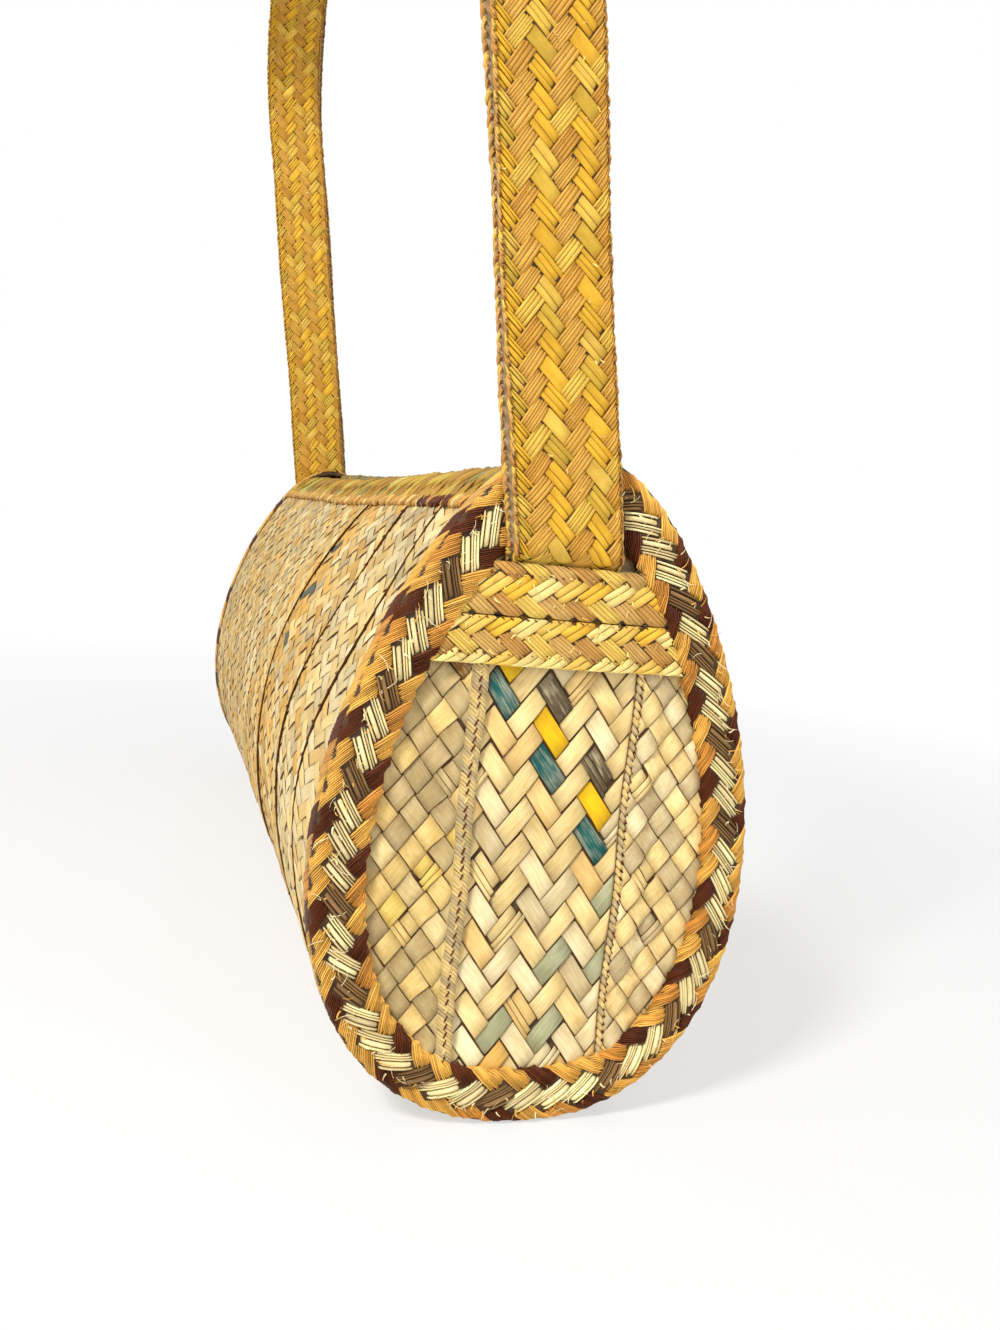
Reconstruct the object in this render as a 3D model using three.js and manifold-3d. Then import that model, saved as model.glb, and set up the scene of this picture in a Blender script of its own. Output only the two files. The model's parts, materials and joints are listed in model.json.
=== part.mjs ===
// Straw barrel bag: an egg-ended barrel of plaited palm strips with one long doubled strap.
// Millimetres, +Z up. X runs along the barrel, the front wall faces -Y, and the origin lies
// on the ground under the middle of the barrel.

import * as THREE from 'three';
import { mergeVertices } from 'three/addons/utils/BufferGeometryUtils.js';
import Module from 'manifold-3d';

const manifold = await Module();
manifold.setup();

// Overall size
const barrelLength = 476;        // over the face braids of both rims
const endHeight = 200;           // over a rim, before the foot is pressed flat
const endWidth = 137;            // over a rim, at its widest level
const clearance = 0.3;           // what is left between two pieces that touch

// Egg outline of an end
const outlineDroop = 12.3;       // half of how far the widest level lies below the middle
const outlineTaper = 1;          // narrows the lower half against the upper
const outlineFullness = 4.1;     // fills out the sides
const outlineCorner = 3.4;       // draws the apex up and rounds the belly
const outlineSteps = 72;

// Plaited sheet
const strawThickness = 1.8;      // one plaited layer of palm strips
const stripWidths = [33, 56, 86, 58, 58, 58, 58, 57]; // visible, from the right end on
const stripLap = 5;              // how far a strip runs under its neighbour
const wallInset = 3;             // wall surface below the outer edge of the rim
const wallSteps = 56;

// Mouth along the top
const mouthFrontArc = 15;        // front lip, measured along the wall from the apex
const mouthBackArc = 5;          // back lip, measured the same way
const lipBraidThickness = 1.5;
const lipBraidOutside = 19;      // width of the fold that shows
const lipBraidInside = 8;

// End panels
const seamFrontY = -20.4;        // front strip's selvage, which lies over the middle strip
const seamBackY = 24.6;
const seamLap = 7;

// Band over the strap's root
const bandBottom = 62;           // below the apex of the rim
const bandTop = 33;
const bandRibbonLine = 48;       // where the two ribbons of the band meet
const bandThickness = 1.5;
const bandShoulder = 4;          // width of the slope beside the strap

// Rim braids
const rimFaceWidth = 17.6;
const rimFaceThickness = 3.6;
const rimWallWidth = 11;
const footPress = 0.6;           // how far the rims are flattened where the bag stands

// Strap
const strapWidth = 31;
const ribbonThickness = 1.4;     // the strap is two such ribbons, sewn together at the edges
const ribbonGap = 0.3;
const strapY = 1;                // where the strap crosses the line between the two ribbons
const strapLean = 8.8;           // degrees towards the front, all the way up
const legLength = 195;           // between the two bends of a leg
const crownRise = 105;           // from the upper bends to the top of the arch
const crownSquareness = 2.3;     // exponent of the arch, 2 is an ellipse
const crownSteps = 48;
const bendAboveRim = 3;          // lower bend above the rim's apex
const rootTail = 3;              // of the strap, hidden above the lower edge of the band
const stepFromBand = 1.4;        // above the band, where the strap starts to step out
const stepHeight = 1.9;          // in which it comes forward over the rim

// Levels along X at the right end, from the barrel outwards
const rimFront = barrelLength / 2;
const rimBack = rimFront - rimFaceThickness;
const panelFront = rimBack - clearance;
const panelBack = panelFront - strawThickness;
const wallEnd = panelBack - clearance;
const lapBack = panelFront + clearance;
const lapFront = lapBack + strawThickness;
const rimWallStart = panelFront - rimWallWidth;
const strapHalf = ribbonThickness + ribbonGap / 2;
const rootX = panelFront + clearance + strapHalf;
const strapX = rimFront + clearance + strapHalf;
const bandCrest = rootX + strapHalf + clearance;
const bandSide = lapFront + clearance;

// Levels along Z
const endMiddle = endHeight / 2 - footPress;
const apexZ = endMiddle + endHeight / 2;
const bandBottomZ = apexZ - bandBottom;
const bandLineZ = apexZ - bandRibbonLine;
const bendZ = apexZ + bendAboveRim;

// Visible widths of the wall strips, fitted to the barrel, and how far a strip drops across its
// width to pass under the next one
const widthsTotal = stripWidths.reduce((sum, width) => sum + width, 0);
const visibleWidths = stripWidths.map((width) => (width * 2 * wallEnd) / widthsTotal);
function stripDrop(visible) {
  return ((strawThickness + clearance) * (visible + stripLap)) / visible;
}

// Distances outwards from the inner edge of the face braid
const rimOuter = rimFaceWidth;
const wallOuter = rimFaceWidth - wallInset;
const wallInner = wallOuter - stripDrop(Math.min(...visibleWidths)) - strawThickness;

// A point of the end's outline, moved outwards by a distance. The angle starts at the apex
// and runs over the back (+Y) down to the foot.
function outlinePoint(angle, outwards) {
  const halfHeight = endHeight / 2 - rimFaceWidth;
  const halfWidth = endWidth / 2 - rimFaceWidth;
  const y = (halfWidth - outlineFullness) * Math.sin(angle)
    - outlineFullness * Math.sin(3 * angle)
    + outlineTaper * Math.sin(2 * angle);
  const z = (halfHeight + outlineCorner) * Math.cos(angle)
    - outlineCorner * Math.cos(3 * angle)
    - outlineDroop * (1 - Math.cos(2 * angle));
  const dy = (halfWidth - outlineFullness) * Math.cos(angle)
    - 3 * outlineFullness * Math.cos(3 * angle)
    + 2 * outlineTaper * Math.cos(2 * angle);
  const dz = -(halfHeight + outlineCorner) * Math.sin(angle)
    + 3 * outlineCorner * Math.sin(3 * angle)
    - 2 * outlineDroop * Math.sin(2 * angle);
  const slope = Math.hypot(dy, dz);
  return new THREE.Vector2(y - (dz / slope) * outwards, endMiddle + z + (dy / slope) * outwards);
}

// The angle reached by walking an arc length along the wall's surface from an angle.
function angleAlongWall(start, arc) {
  const step = Math.sign(arc) * 0.002;
  let angle = start;
  let walked = 0;
  while (walked < Math.abs(arc)) {
    const here = outlinePoint(angle, wallOuter);
    walked += here.distanceTo(outlinePoint(angle + step, wallOuter));
    angle += step;
  }
  return angle;
}

// Height of the inner edge of the face braid at a distance Y from the middle.
function innerEdgeZ(y) {
  let angle = 0;
  while (Math.abs(outlinePoint(angle, 0).x) < Math.abs(y)) {
    angle += 0.002;
  }
  return outlinePoint(angle, 0).y;
}

// The strap's lean, its width along Y and its middle line at a height
const lean = THREE.MathUtils.degToRad(strapLean);
const slantWidth = strapWidth / Math.cos(lean);
function strapMiddleY(z) {
  return strapY - Math.tan(lean) * (z - bandLineZ);
}
const bendY = strapMiddleY(bendZ);

// Height at which the strap's front edge meets the inner edge of the face braid
function strapMeetsRim() {
  let z = apexZ - rimFaceWidth;
  while (innerEdgeZ(strapMiddleY(z) - slantWidth / 2) < z) {
    z -= 0.1;
  }
  return z;
}
const stepEndZ = strapMeetsRim() - 3 * clearance;
const stepStartZ = stepEndZ - stepHeight;
const bandTopZ = Math.min(apexZ - bandTop, stepStartZ - stepFromBand);

// A closed skin over a row of sections with equal point counts, open (with end faces) or
// closed into a ring.
function loft(sections, ring) {
  const count = sections[0].length;
  const positions = sections.flat().flatMap((p) => [p.x, p.y, p.z]);
  const index = [];
  const rows = ring ? sections.length : sections.length - 1;
  for (let row = 0; row < rows; row++) {
    const next = (row + 1) % sections.length;
    for (let k = 0; k < count; k++) {
      const right = (k + 1) % count;
      const a = row * count + k;
      const b = row * count + right;
      const c = next * count + right;
      const d = next * count + k;
      index.push(a, b, c, a, c, d);
    }
  }
  if (!ring) {
    const last = (sections.length - 1) * count;
    const flat = flattenSection(sections[0]);
    for (const [a, b, c] of THREE.ShapeUtils.triangulateShape(flat, [])) {
      index.push(c, b, a);
      index.push(last + a, last + b, last + c);
    }
  }
  const geometry = new THREE.BufferGeometry();
  geometry.setAttribute('position', new THREE.Float32BufferAttribute(positions, 3));
  geometry.setIndex(index);
  return outwards(geometry);
}

// A section laid flat, so that its end face can be triangulated.
function flattenSection(points) {
  const origin = points[0];
  const along = points[1].clone().sub(origin).normalize();
  const normal = new THREE.Vector3();
  for (let k = 1; k < points.length - 1; k++) {
    const first = points[k].clone().sub(origin);
    const second = points[k + 1].clone().sub(origin);
    normal.add(first.cross(second));
  }
  const across = normal.normalize().cross(along);
  return points.map((p) => {
    const offset = p.clone().sub(origin);
    return new THREE.Vector2(offset.dot(along), offset.dot(across));
  });
}

// The same skin with its faces pointing out.
function outwards(geometry) {
  const p = geometry.attributes.position;
  const index = geometry.index.array;
  const corner = [new THREE.Vector3(), new THREE.Vector3(), new THREE.Vector3()];
  let volume = 0;
  for (let k = 0; k < index.length; k += 3) {
    corner.forEach((v, i) => v.fromBufferAttribute(p, index[k + i]));
    volume += corner[0].dot(corner[1].clone().cross(corner[2]));
  }
  if (volume < 0) {
    for (let k = 0; k < index.length; k += 3) {
      [index[k], index[k + 1]] = [index[k + 1], index[k]];
    }
  }
  return geometry;
}

function toSolid(geometry) {
  const bare = geometry.clone();
  bare.deleteAttribute('normal');
  bare.deleteAttribute('uv');
  const merged = mergeVertices(bare, 1e-4);
  return new manifold.Manifold(new manifold.Mesh({
    numProp: 3,
    vertProperties: new Float32Array(merged.attributes.position.array),
    triVerts: new Uint32Array(merged.index.array),
  }));
}

function fromSolid(solid) {
  const mesh = solid.getMesh();
  const geometry = new THREE.BufferGeometry();
  geometry.setAttribute('position', new THREE.BufferAttribute(mesh.vertProperties, 3));
  geometry.setIndex(new THREE.BufferAttribute(mesh.triVerts, 1));
  return geometry;
}

// A plate with the end's outline, from one level along X to another.
function outlinePlate(outwardsBy, fromX, toX) {
  const points = [];
  for (let k = 0; k < outlineSteps; k++) {
    points.push(outlinePoint((2 * Math.PI * k) / outlineSteps, outwardsBy));
  }
  const section = (x) => points.map((p) => new THREE.Vector3(x, p.x, p.y));
  return toSolid(loft([section(fromX), section(toX)], false));
}

// A plan outline of [x, y] points, raised from one height to another.
function planPrism(plan, fromZ, toZ) {
  const section = (z) => plan.map(([x, y]) => new THREE.Vector3(x, y, z));
  return toSolid(loft([section(fromZ), section(toZ)], false));
}

// A side outline of [x, z] points, carried across a width.
function carriedAcross(side, width) {
  const section = (y) => side.map(([x, z]) => new THREE.Vector3(x, y, z));
  return loft([section(-width / 2), section(width / 2)], false);
}

// Wall: one plaited strip, laid round the barrel from the back lip under to the front lip.
// Its right edge lies on top of the strip before it, so that it rises by one thickness.
function wallStrip(rightX, visible, isLast) {
  const fromAngle = angleAlongWall(0, mouthBackArc);
  const toAngle = 2 * Math.PI + angleAlongWall(0, -mouthFrontArc);
  const edgeX = rightX - visible - (isLast ? 0 : stripLap);
  const drop = isLast ? 0 : stripDrop(visible);
  const sections = [];
  for (let k = 0; k <= wallSteps; k++) {
    const angle = fromAngle + ((toAngle - fromAngle) * k) / wallSteps;
    const corner = (x, outward) => {
      const p = outlinePoint(angle, outward);
      return new THREE.Vector3(x, p.x, p.y);
    };
    sections.push([
      corner(rightX, wallOuter),
      corner(edgeX, wallOuter - drop),
      corner(edgeX, wallOuter - drop - strawThickness),
      corner(rightX, wallOuter - strawThickness),
    ]);
  }
  return loft(sections, false);
}

// Lip: a braid folded over the strips' cut ends along one side of the mouth.
function lipBraid(edgeArc) {
  const side = Math.sign(edgeArc);
  const angleAt = (past) => angleAlongWall(0, edgeArc + side * past);
  const beyond = angleAt(-clearance - lipBraidThickness);
  const hem = angleAt(-clearance);
  const outside = [];
  const inside = [];
  for (let k = 0; k <= 4; k++) {
    outside.push(angleAt((lipBraidOutside * k) / 4));
    inside.push(angleAt((lipBraidInside * k) / 4));
  }
  const outerSkin = wallOuter + clearance + lipBraidThickness;
  const innerSkin = wallInner - clearance - lipBraidThickness;
  const profile = [
    ...outside.slice().reverse().map((angle) => outlinePoint(angle, outerSkin)),
    outlinePoint(beyond, wallOuter),
    outlinePoint(beyond, wallInner),
    ...inside.map((angle) => outlinePoint(angle, innerSkin)),
    ...inside.slice().reverse().map((angle) => outlinePoint(angle, wallInner - clearance)),
    outlinePoint(hem, wallInner - clearance),
    outlinePoint(hem, wallOuter + clearance),
    ...outside.map((angle) => outlinePoint(angle, wallOuter + clearance)),
  ];
  const reach = rimWallStart - clearance;
  const section = (x) => profile.map((p) => new THREE.Vector3(x, p.x, p.y));
  return loft([section(-reach), section(reach)], false);
}

// End panel: three upright strips, the outer two lapped over the middle one.
function middleEndStrip() {
  const plan = [
    [panelBack, seamFrontY - seamLap],
    [panelFront, seamFrontY - seamLap],
    [panelFront, seamBackY + seamLap],
    [panelBack, seamBackY + seamLap],
  ];
  const strip = planPrism(plan, -endHeight, 2 * endHeight);
  return fromSolid(strip.intersect(outlinePlate(wallOuter, panelBack - 1, panelFront + 1)));
}

function sideEndStrip(seamY) {
  const side = Math.sign(seamY);
  const joggleY = seamY + side * (seamLap + clearance);
  const farY = side * endWidth;
  const plan = [
    [panelBack, farY],
    [panelBack, joggleY],
    [lapBack, joggleY],
    [lapBack, seamY],
    [lapFront, seamY],
    [lapFront, joggleY + side * strawThickness],
    [panelFront, joggleY + side * strawThickness],
    [panelFront, farY],
  ];
  const whole = planPrism(plan, -endHeight, 2 * endHeight);
  const flat = whole.intersect(outlinePlate(wallOuter, panelBack - 1, panelFront));
  const raised = whole.intersect(outlinePlate(-clearance, panelBack - 1, lapFront + 1));
  return fromSolid(flat.add(raised));
}

// Band: two narrow ribbons sewn across the end over the strap's root, humped where they
// cross it, with their ends against the rim.
function bandRibbon(bottomZ, topZ) {
  const inner = [];
  const crossingY = strapMiddleY((bottomZ + topZ) / 2);
  const humpY = slantWidth / 2 + (Math.tan(lean) * (topZ - bottomZ)) / 2 + clearance;
  for (const [dy, x] of [[-endWidth, bandSide], [-humpY - bandShoulder, bandSide],
    [-humpY, bandCrest], [humpY, bandCrest], [humpY + bandShoulder, bandSide],
    [endWidth, bandSide]]) {
    inner.push([x, crossingY + dy]);
  }
  const outer = inner.map(([x, y]) => [x + bandThickness, y]).reverse();
  const ribbon = planPrism([...inner, ...outer], bottomZ, topZ);
  return fromSolid(ribbon.intersect(outlinePlate(-clearance, panelFront, rimFront + endWidth)));
}

// A ring swept round the end from a section of [outwards, x] points, flat at the foot.
function rimRing(profile) {
  const sections = [];
  for (let k = 0; k < outlineSteps; k++) {
    const angle = (2 * Math.PI * k) / outlineSteps;
    sections.push(profile.map(([outward, x]) => {
      const p = outlinePoint(angle, outward);
      return new THREE.Vector3(x, p.x, Math.max(p.y, 0));
    }));
  }
  return loft(sections, true);
}

// Rim: a wide braid on the face of the end and a narrow one on the wall beside it. They meet
// at the corner, where both are sewn through the edge of the wall and of the panel.
function rimFaceBraid() {
  const crown = rimFaceThickness / 2;
  return rimRing([
    [0, rimBack],
    [0, rimBack + crown],
    [rimFaceWidth * 0.08, rimFront - crown * 0.2],
    [rimFaceWidth * 0.25, rimFront],
    [rimFaceWidth * 0.72, rimFront],
    [rimFaceWidth * 0.92, rimFront - crown * 0.4],
    [rimFaceWidth, rimBack + crown],
    [rimFaceWidth, rimBack],
  ]);
}

function rimWallBraid() {
  const lift = rimOuter - wallOuter - clearance;
  return rimRing([
    [wallOuter + clearance, rimWallStart],
    [wallOuter + clearance + lift * 0.55, rimWallStart],
    [rimOuter, rimWallStart + lift * 0.8],
    [rimOuter, panelFront],
    [wallOuter + clearance, panelFront],
  ]);
}

// The side outline of one of the strap's two ribbons along a centre line of [x, z] points.
function ribbonOutline(line, fromOffset, toOffset) {
  const shifted = (offset) => line.map((point, k) => {
    const before = line[Math.max(k - 1, 0)];
    const after = line[Math.min(k + 1, line.length - 1)];
    const into = new THREE.Vector2(point[0] - before[0], point[1] - before[1]).normalize();
    const out = new THREE.Vector2(after[0] - point[0], after[1] - point[1]).normalize();
    const mean = into.clone().add(out).normalize();
    const reference = into.lengthSq() > 0 ? into : out;
    const mitre = offset / mean.dot(reference);
    return [point[0] + mean.y * mitre, point[1] - mean.x * mitre];
  });
  return [...shifted(fromOffset), ...shifted(toOffset).reverse()];
}

const ribbonOffsets = {
  outer: [ribbonGap / 2, strapHalf],
  inner: [-strapHalf, -ribbonGap / 2],
};

// Rounded end of a ribbon at a bend: points of the arc about the bend's axis, from the
// ribbon's near face to its far face.
function noseArc(centreX, centreZ, fromOffset, toOffset) {
  const points = [];
  const steps = 5;
  for (let k = 0; k <= steps; k++) {
    const offset = fromOffset + ((toOffset - fromOffset) * k) / steps;
    const depth = Math.sqrt(Math.max(strapHalf ** 2 - offset ** 2, 0));
    points.push([centreX + offset, centreZ - depth]);
  }
  return points;
}

// Root: behind the band the strap lies on the panel, then it steps out over the rim's inner
// edge and stands in front of the rim as far as the lower bend. It leans from its lower end on.
function strapRoot(layer) {
  const line = [
    [rootX, bandBottomZ + rootTail],
    [rootX, stepStartZ],
    [strapX, stepEndZ],
    [strapX, bendZ + strapWidth],
  ];
  const blank = carriedAcross(ribbonOutline(line, ...ribbonOffsets[layer]), slantWidth);
  const p = blank.attributes.position;
  for (let k = 0; k < p.count; k++) {
    p.setY(k, p.getY(k) + strapMiddleY(p.getZ(k)));
  }
  const trim = new THREE.BoxGeometry(endWidth, endWidth, endWidth);
  trim.translate(strapX, 0, endWidth / 2 - strapHalf - clearance);
  trim.rotateX(lean);
  trim.translate(0, bendY, bendZ);
  return fromSolid(toSolid(blank).subtract(toSolid(trim)));
}

// Leg: straight ribbon between its two bends, measured from the lower one.
function strapLeg(layer) {
  const [from, to] = ribbonOffsets[layer];
  const top = legLength - strapHalf - clearance;
  const side = [...noseArc(0, 0, from, to), [to, top], [from, top]];
  return carriedAcross(side, strapWidth);
}

// Crown: the arch over the hand or shoulder, measured from between the upper bends.
function strapCrown(layer) {
  const [from, to] = ribbonOffsets[layer];
  const rise = crownRise - strapHalf;
  const line = [];
  for (let k = 0; k <= crownSteps; k++) {
    const angle = (Math.PI * k) / crownSteps;
    const power = 2 / crownSquareness;
    const x = -Math.sign(Math.cos(angle)) * Math.abs(Math.cos(angle)) ** power * strapX;
    line.push([x, Math.sin(angle) ** power * rise]);
  }
  const body = line.slice(1, -1);
  const points = ribbonOutline([[-strapX, 0], ...body, [strapX, 0]], -to, -from);
  const half = points.length / 2;
  const nearFace = points.slice(0, half);
  const farFace = points.slice(half);
  nearFace[0][1] = 0;
  nearFace[half - 1][1] = 0;
  farFace[0][1] = 0;
  farFace[half - 1][1] = 0;
  const rightNose = noseArc(strapX, 0, from, to);
  const leftNose = noseArc(-strapX, 0, -to, -from);
  const side = [...nearFace.slice(1, -1), ...rightNose.slice().reverse(),
    ...farFace.slice(1, -1), ...leftNose.slice().reverse()];
  return carriedAcross(side, strapWidth);
}

// Colours of the palm straw, natural and dyed
const straw = {
  natural: 0xe3c88c,
  ochre: 0xd9a441,
  brown: 0x9a6a35,
  yellow: 0xdcae4a,
};

function addPiece(parent, name, geometry, colour) {
  const material = new THREE.MeshStandardMaterial({ color: colour, roughness: 0.7, metalness: 0 });
  material.name = name;
  const mesh = new THREE.Mesh(geometry, material);
  mesh.name = name;
  parent.add(mesh);
  return mesh;
}

const bag = new THREE.Group();

// Wall strips, from the right end to the left
let rightX = wallEnd;
visibleWidths.forEach((visible, k) => {
  const isLast = k === visibleWidths.length - 1;
  addPiece(bag, `wall_strip_${k + 1}`, wallStrip(rightX, visible, isLast), straw.natural);
  rightX -= visible;
});

addPiece(bag, 'front_lip_braid', lipBraid(-mouthFrontArc), straw.ochre);
addPiece(bag, 'back_lip_braid', lipBraid(mouthBackArc), straw.ochre);

// Both ends alike: the left one is the right one turned half round about the upright axis,
// with its front and back kept by mirroring the outline's two seams.
for (const end of ['right', 'left']) {
  const mirror = end === 'right' ? 1 : -1;
  const place = (geometry) => {
    if (mirror > 0) {
      return geometry;
    }
    const flipped = geometry.clone();
    flipped.scale(-1, 1, 1);
    const index = flipped.index.array;
    for (let k = 0; k < index.length; k += 3) {
      [index[k], index[k + 1]] = [index[k + 1], index[k]];
    }
    return flipped;
  };
  const add = (part, geometry, colour) => {
    addPiece(bag, `${end}_${part}`, place(geometry), colour);
  };
  add('end_strip_middle', middleEndStrip(), straw.natural);
  add('end_strip_front', sideEndStrip(seamFrontY), straw.natural);
  add('end_strip_back', sideEndStrip(seamBackY), straw.natural);
  add('band_lower', bandRibbon(bandBottomZ, bandLineZ - clearance), straw.yellow);
  add('band_upper', bandRibbon(bandLineZ, bandTopZ), straw.yellow);
  add('rim_face_braid', rimFaceBraid(), straw.natural);
  add('rim_wall_braid', rimWallBraid(), straw.brown);
  add('strap_root_inner', strapRoot('inner'), straw.yellow);
  add('strap_root_outer', strapRoot('outer'), straw.yellow);

  const leg = new THREE.Group();
  leg.position.set(mirror * strapX, bendY, bendZ);
  leg.rotation.x = lean;
  bag.add(leg);
  addPiece(leg, `${end}_strap_leg_inner`, place(strapLeg('inner')), straw.yellow);
  addPiece(leg, `${end}_strap_leg_outer`, place(strapLeg('outer')), straw.yellow);
}

const crown = new THREE.Group();
crown.position.set(0, bendY - Math.sin(lean) * legLength, bendZ + Math.cos(lean) * legLength);
crown.rotation.x = lean;
bag.add(crown);
addPiece(crown, 'strap_crown_inner', strapCrown('inner'), straw.yellow);
addPiece(crown, 'strap_crown_outer', strapCrown('outer'), straw.yellow);

export default bag;
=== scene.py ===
import json

import bpy
import numpy as np
from mathutils import Matrix

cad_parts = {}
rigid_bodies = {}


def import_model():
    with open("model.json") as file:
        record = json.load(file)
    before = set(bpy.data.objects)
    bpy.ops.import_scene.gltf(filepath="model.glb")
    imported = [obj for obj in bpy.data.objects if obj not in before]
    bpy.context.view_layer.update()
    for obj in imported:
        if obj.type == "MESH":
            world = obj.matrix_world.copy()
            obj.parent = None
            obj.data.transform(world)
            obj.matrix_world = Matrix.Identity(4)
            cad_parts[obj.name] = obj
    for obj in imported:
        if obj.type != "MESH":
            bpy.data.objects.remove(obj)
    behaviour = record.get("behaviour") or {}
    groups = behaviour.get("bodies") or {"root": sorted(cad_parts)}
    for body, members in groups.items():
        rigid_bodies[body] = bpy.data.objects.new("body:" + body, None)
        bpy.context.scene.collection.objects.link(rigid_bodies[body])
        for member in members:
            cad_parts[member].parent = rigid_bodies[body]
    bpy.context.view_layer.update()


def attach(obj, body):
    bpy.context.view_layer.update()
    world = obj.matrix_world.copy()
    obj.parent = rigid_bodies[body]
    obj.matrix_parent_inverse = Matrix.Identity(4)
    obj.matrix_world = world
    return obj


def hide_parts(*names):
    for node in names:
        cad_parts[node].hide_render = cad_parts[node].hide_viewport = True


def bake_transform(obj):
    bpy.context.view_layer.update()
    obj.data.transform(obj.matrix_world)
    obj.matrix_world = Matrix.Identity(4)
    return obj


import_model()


# Wall strips
# Eight plaits of undyed palm straw, 38 to 91 mm wide, go round the barrel side by side, from one
# lip of the mouth under the bag to the other. Each is a two over two twill, sewn with its right
# edge on top of the strip to its right, so that the wall has a step at each seam.
mm = 0.001
barrel_length, end_height, end_width = 476 * mm, 200 * mm, 137 * mm
outline_droop, outline_taper = 12.3 * mm, 1 * mm
outline_fullness, outline_corner = 4.1 * mm, 3.4 * mm
rim_face_width, rim_thickness, foot_press = 17.6 * mm, 3.6 * mm, 0.6 * mm
end_middle = end_height / 2 - foot_press
clearance = 0.3 * mm
rim_front = barrel_length / 2
rim_back = rim_front - rim_thickness
panel_front = rim_back - clearance
sheet_thickness = 1.8 * mm
wall_end = panel_front - sheet_thickness - clearance
wall_outer = rim_face_width - 3 * mm
strip_shares = np.array([33, 56, 86, 58, 58, 58, 58, 57])
visible_widths = strip_shares / strip_shares.sum() * 2 * wall_end
strip_lap = 5 * mm
front_lip_arc, back_lip_arc = 15 * mm, 5 * mm


def egg(angle, outward):
    """Y and Z of the end's egg outline, moved outwards. The angle starts at the top and goes
    over the back."""
    half_width = end_width / 2 - rim_face_width
    half_height = end_height / 2 - rim_face_width
    broad, tall = half_width - outline_fullness, half_height + outline_corner
    y = broad * np.sin(angle) - outline_fullness * np.sin(3 * angle)
    y = y + outline_taper * np.sin(2 * angle)
    z = tall * np.cos(angle) - outline_corner * np.cos(3 * angle)
    z = z - outline_droop * (1 - np.cos(2 * angle))
    dy = broad * np.cos(angle) - 3 * outline_fullness * np.cos(3 * angle)
    dy = dy + 2 * outline_taper * np.cos(2 * angle)
    dz = -tall * np.sin(angle) + 3 * outline_corner * np.sin(3 * angle)
    dz = dz - 2 * outline_droop * np.sin(2 * angle)
    slope = np.hypot(dy, dz)
    return y - dz / slope * outward, end_middle + z + dy / slope * outward


def walk_round(outward):
    """A function from the distance walked round the egg, from its top, to the angle, and the
    length of a whole round."""
    angle = np.linspace(-2 * np.pi, 4 * np.pi, 9001)
    y, z = egg(angle, outward)
    walked = np.concatenate([[0], np.cumsum(np.hypot(np.diff(y), np.diff(z)))])
    walked -= np.interp(0, angle, walked)
    length = np.interp(2 * np.pi, angle, walked)
    return (lambda distance: np.interp(distance, walked, angle)), length


wall_angle, wall_round = walk_round(wall_outer)


def strip_drop(visible, thickness=sheet_thickness + clearance):
    """How far a strip drops across its width, to pass under the next one."""
    return thickness * (visible + strip_lap) / visible


sag, sag_by_mouth = 0.5, 2
ripple_height, ripple_along, ripple_round = 0.3 * mm, 31 * mm, 47 * mm


def slump(x, distance):
    """How far the soft wall sinks in, most of all midway between the rims and by the mouth."""
    midway = np.cos(np.pi * np.clip(x / barrel_length, -0.5, 0.5)) ** 2
    by_mouth = 0.5 + 0.5 * np.cos(2 * np.pi * distance / wall_round)
    ripple = np.sin(x / ripple_along + 2 * np.sin(distance / ripple_round))
    return -mm * midway * (sag + sag_by_mouth * by_mouth**3) + ripple_height * ripple * midway


def smooth_step(value):
    clipped = np.clip(value, 0, 1)
    return clipped * clipped * (3 - 2 * clipped)


def feed(tree, node, inputs):
    """Gives the node's inputs as values or links."""
    for socket, source in inputs.items():
        if isinstance(source, bpy.types.NodeSocket):
            tree.links.new(source, node.inputs[socket])
        else:
            node.inputs[socket].default_value = source
    return node


def add_node(tree, kind, inputs=None, **settings):
    made = tree.nodes.new(kind)
    for name, value in settings.items():
        setattr(made, name, value)
    return feed(tree, made, inputs or {})


def reckon(tree, operation, first, second=0.0, third=0.0):
    """The result of one Math node."""
    inputs = {0: first, 1: second}
    if operation in {"MULTIPLY_ADD", "COMPARE"}:
        inputs[2] = third
    return add_node(tree, "ShaderNodeMath", inputs, operation=operation).outputs[0]


def remap(tree, value, low, high, start=0.0, stop=1.0):
    """The value's place between low and high, as a number from start to stop."""
    inputs = {"Value": value, "From Min": low, "From Max": high, "To Min": start, "To Max": stop}
    return add_node(tree, "ShaderNodeMapRange", inputs).outputs[0]


def vector(tree, x, y, z=0.0):
    return add_node(tree, "ShaderNodeCombineXYZ", {"X": x, "Y": y, "Z": z}).outputs[0]


plait_inputs = {
    "Columns": "Int", "Rows": "Int", "Column Pitch": "Float", "Row Pitch": "Float",
    "First Column": "Float", "First Row": "Float", "Looseness": "Float", "Turn": "Float",
    "Tilt": "Float", "Seed": "Int", "Left Float": "Object", "Right Float": "Object",
    "Straw": "Material",
}
seed_step, breadth_swing, height_swing = 101, 0.8, 4.0


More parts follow.
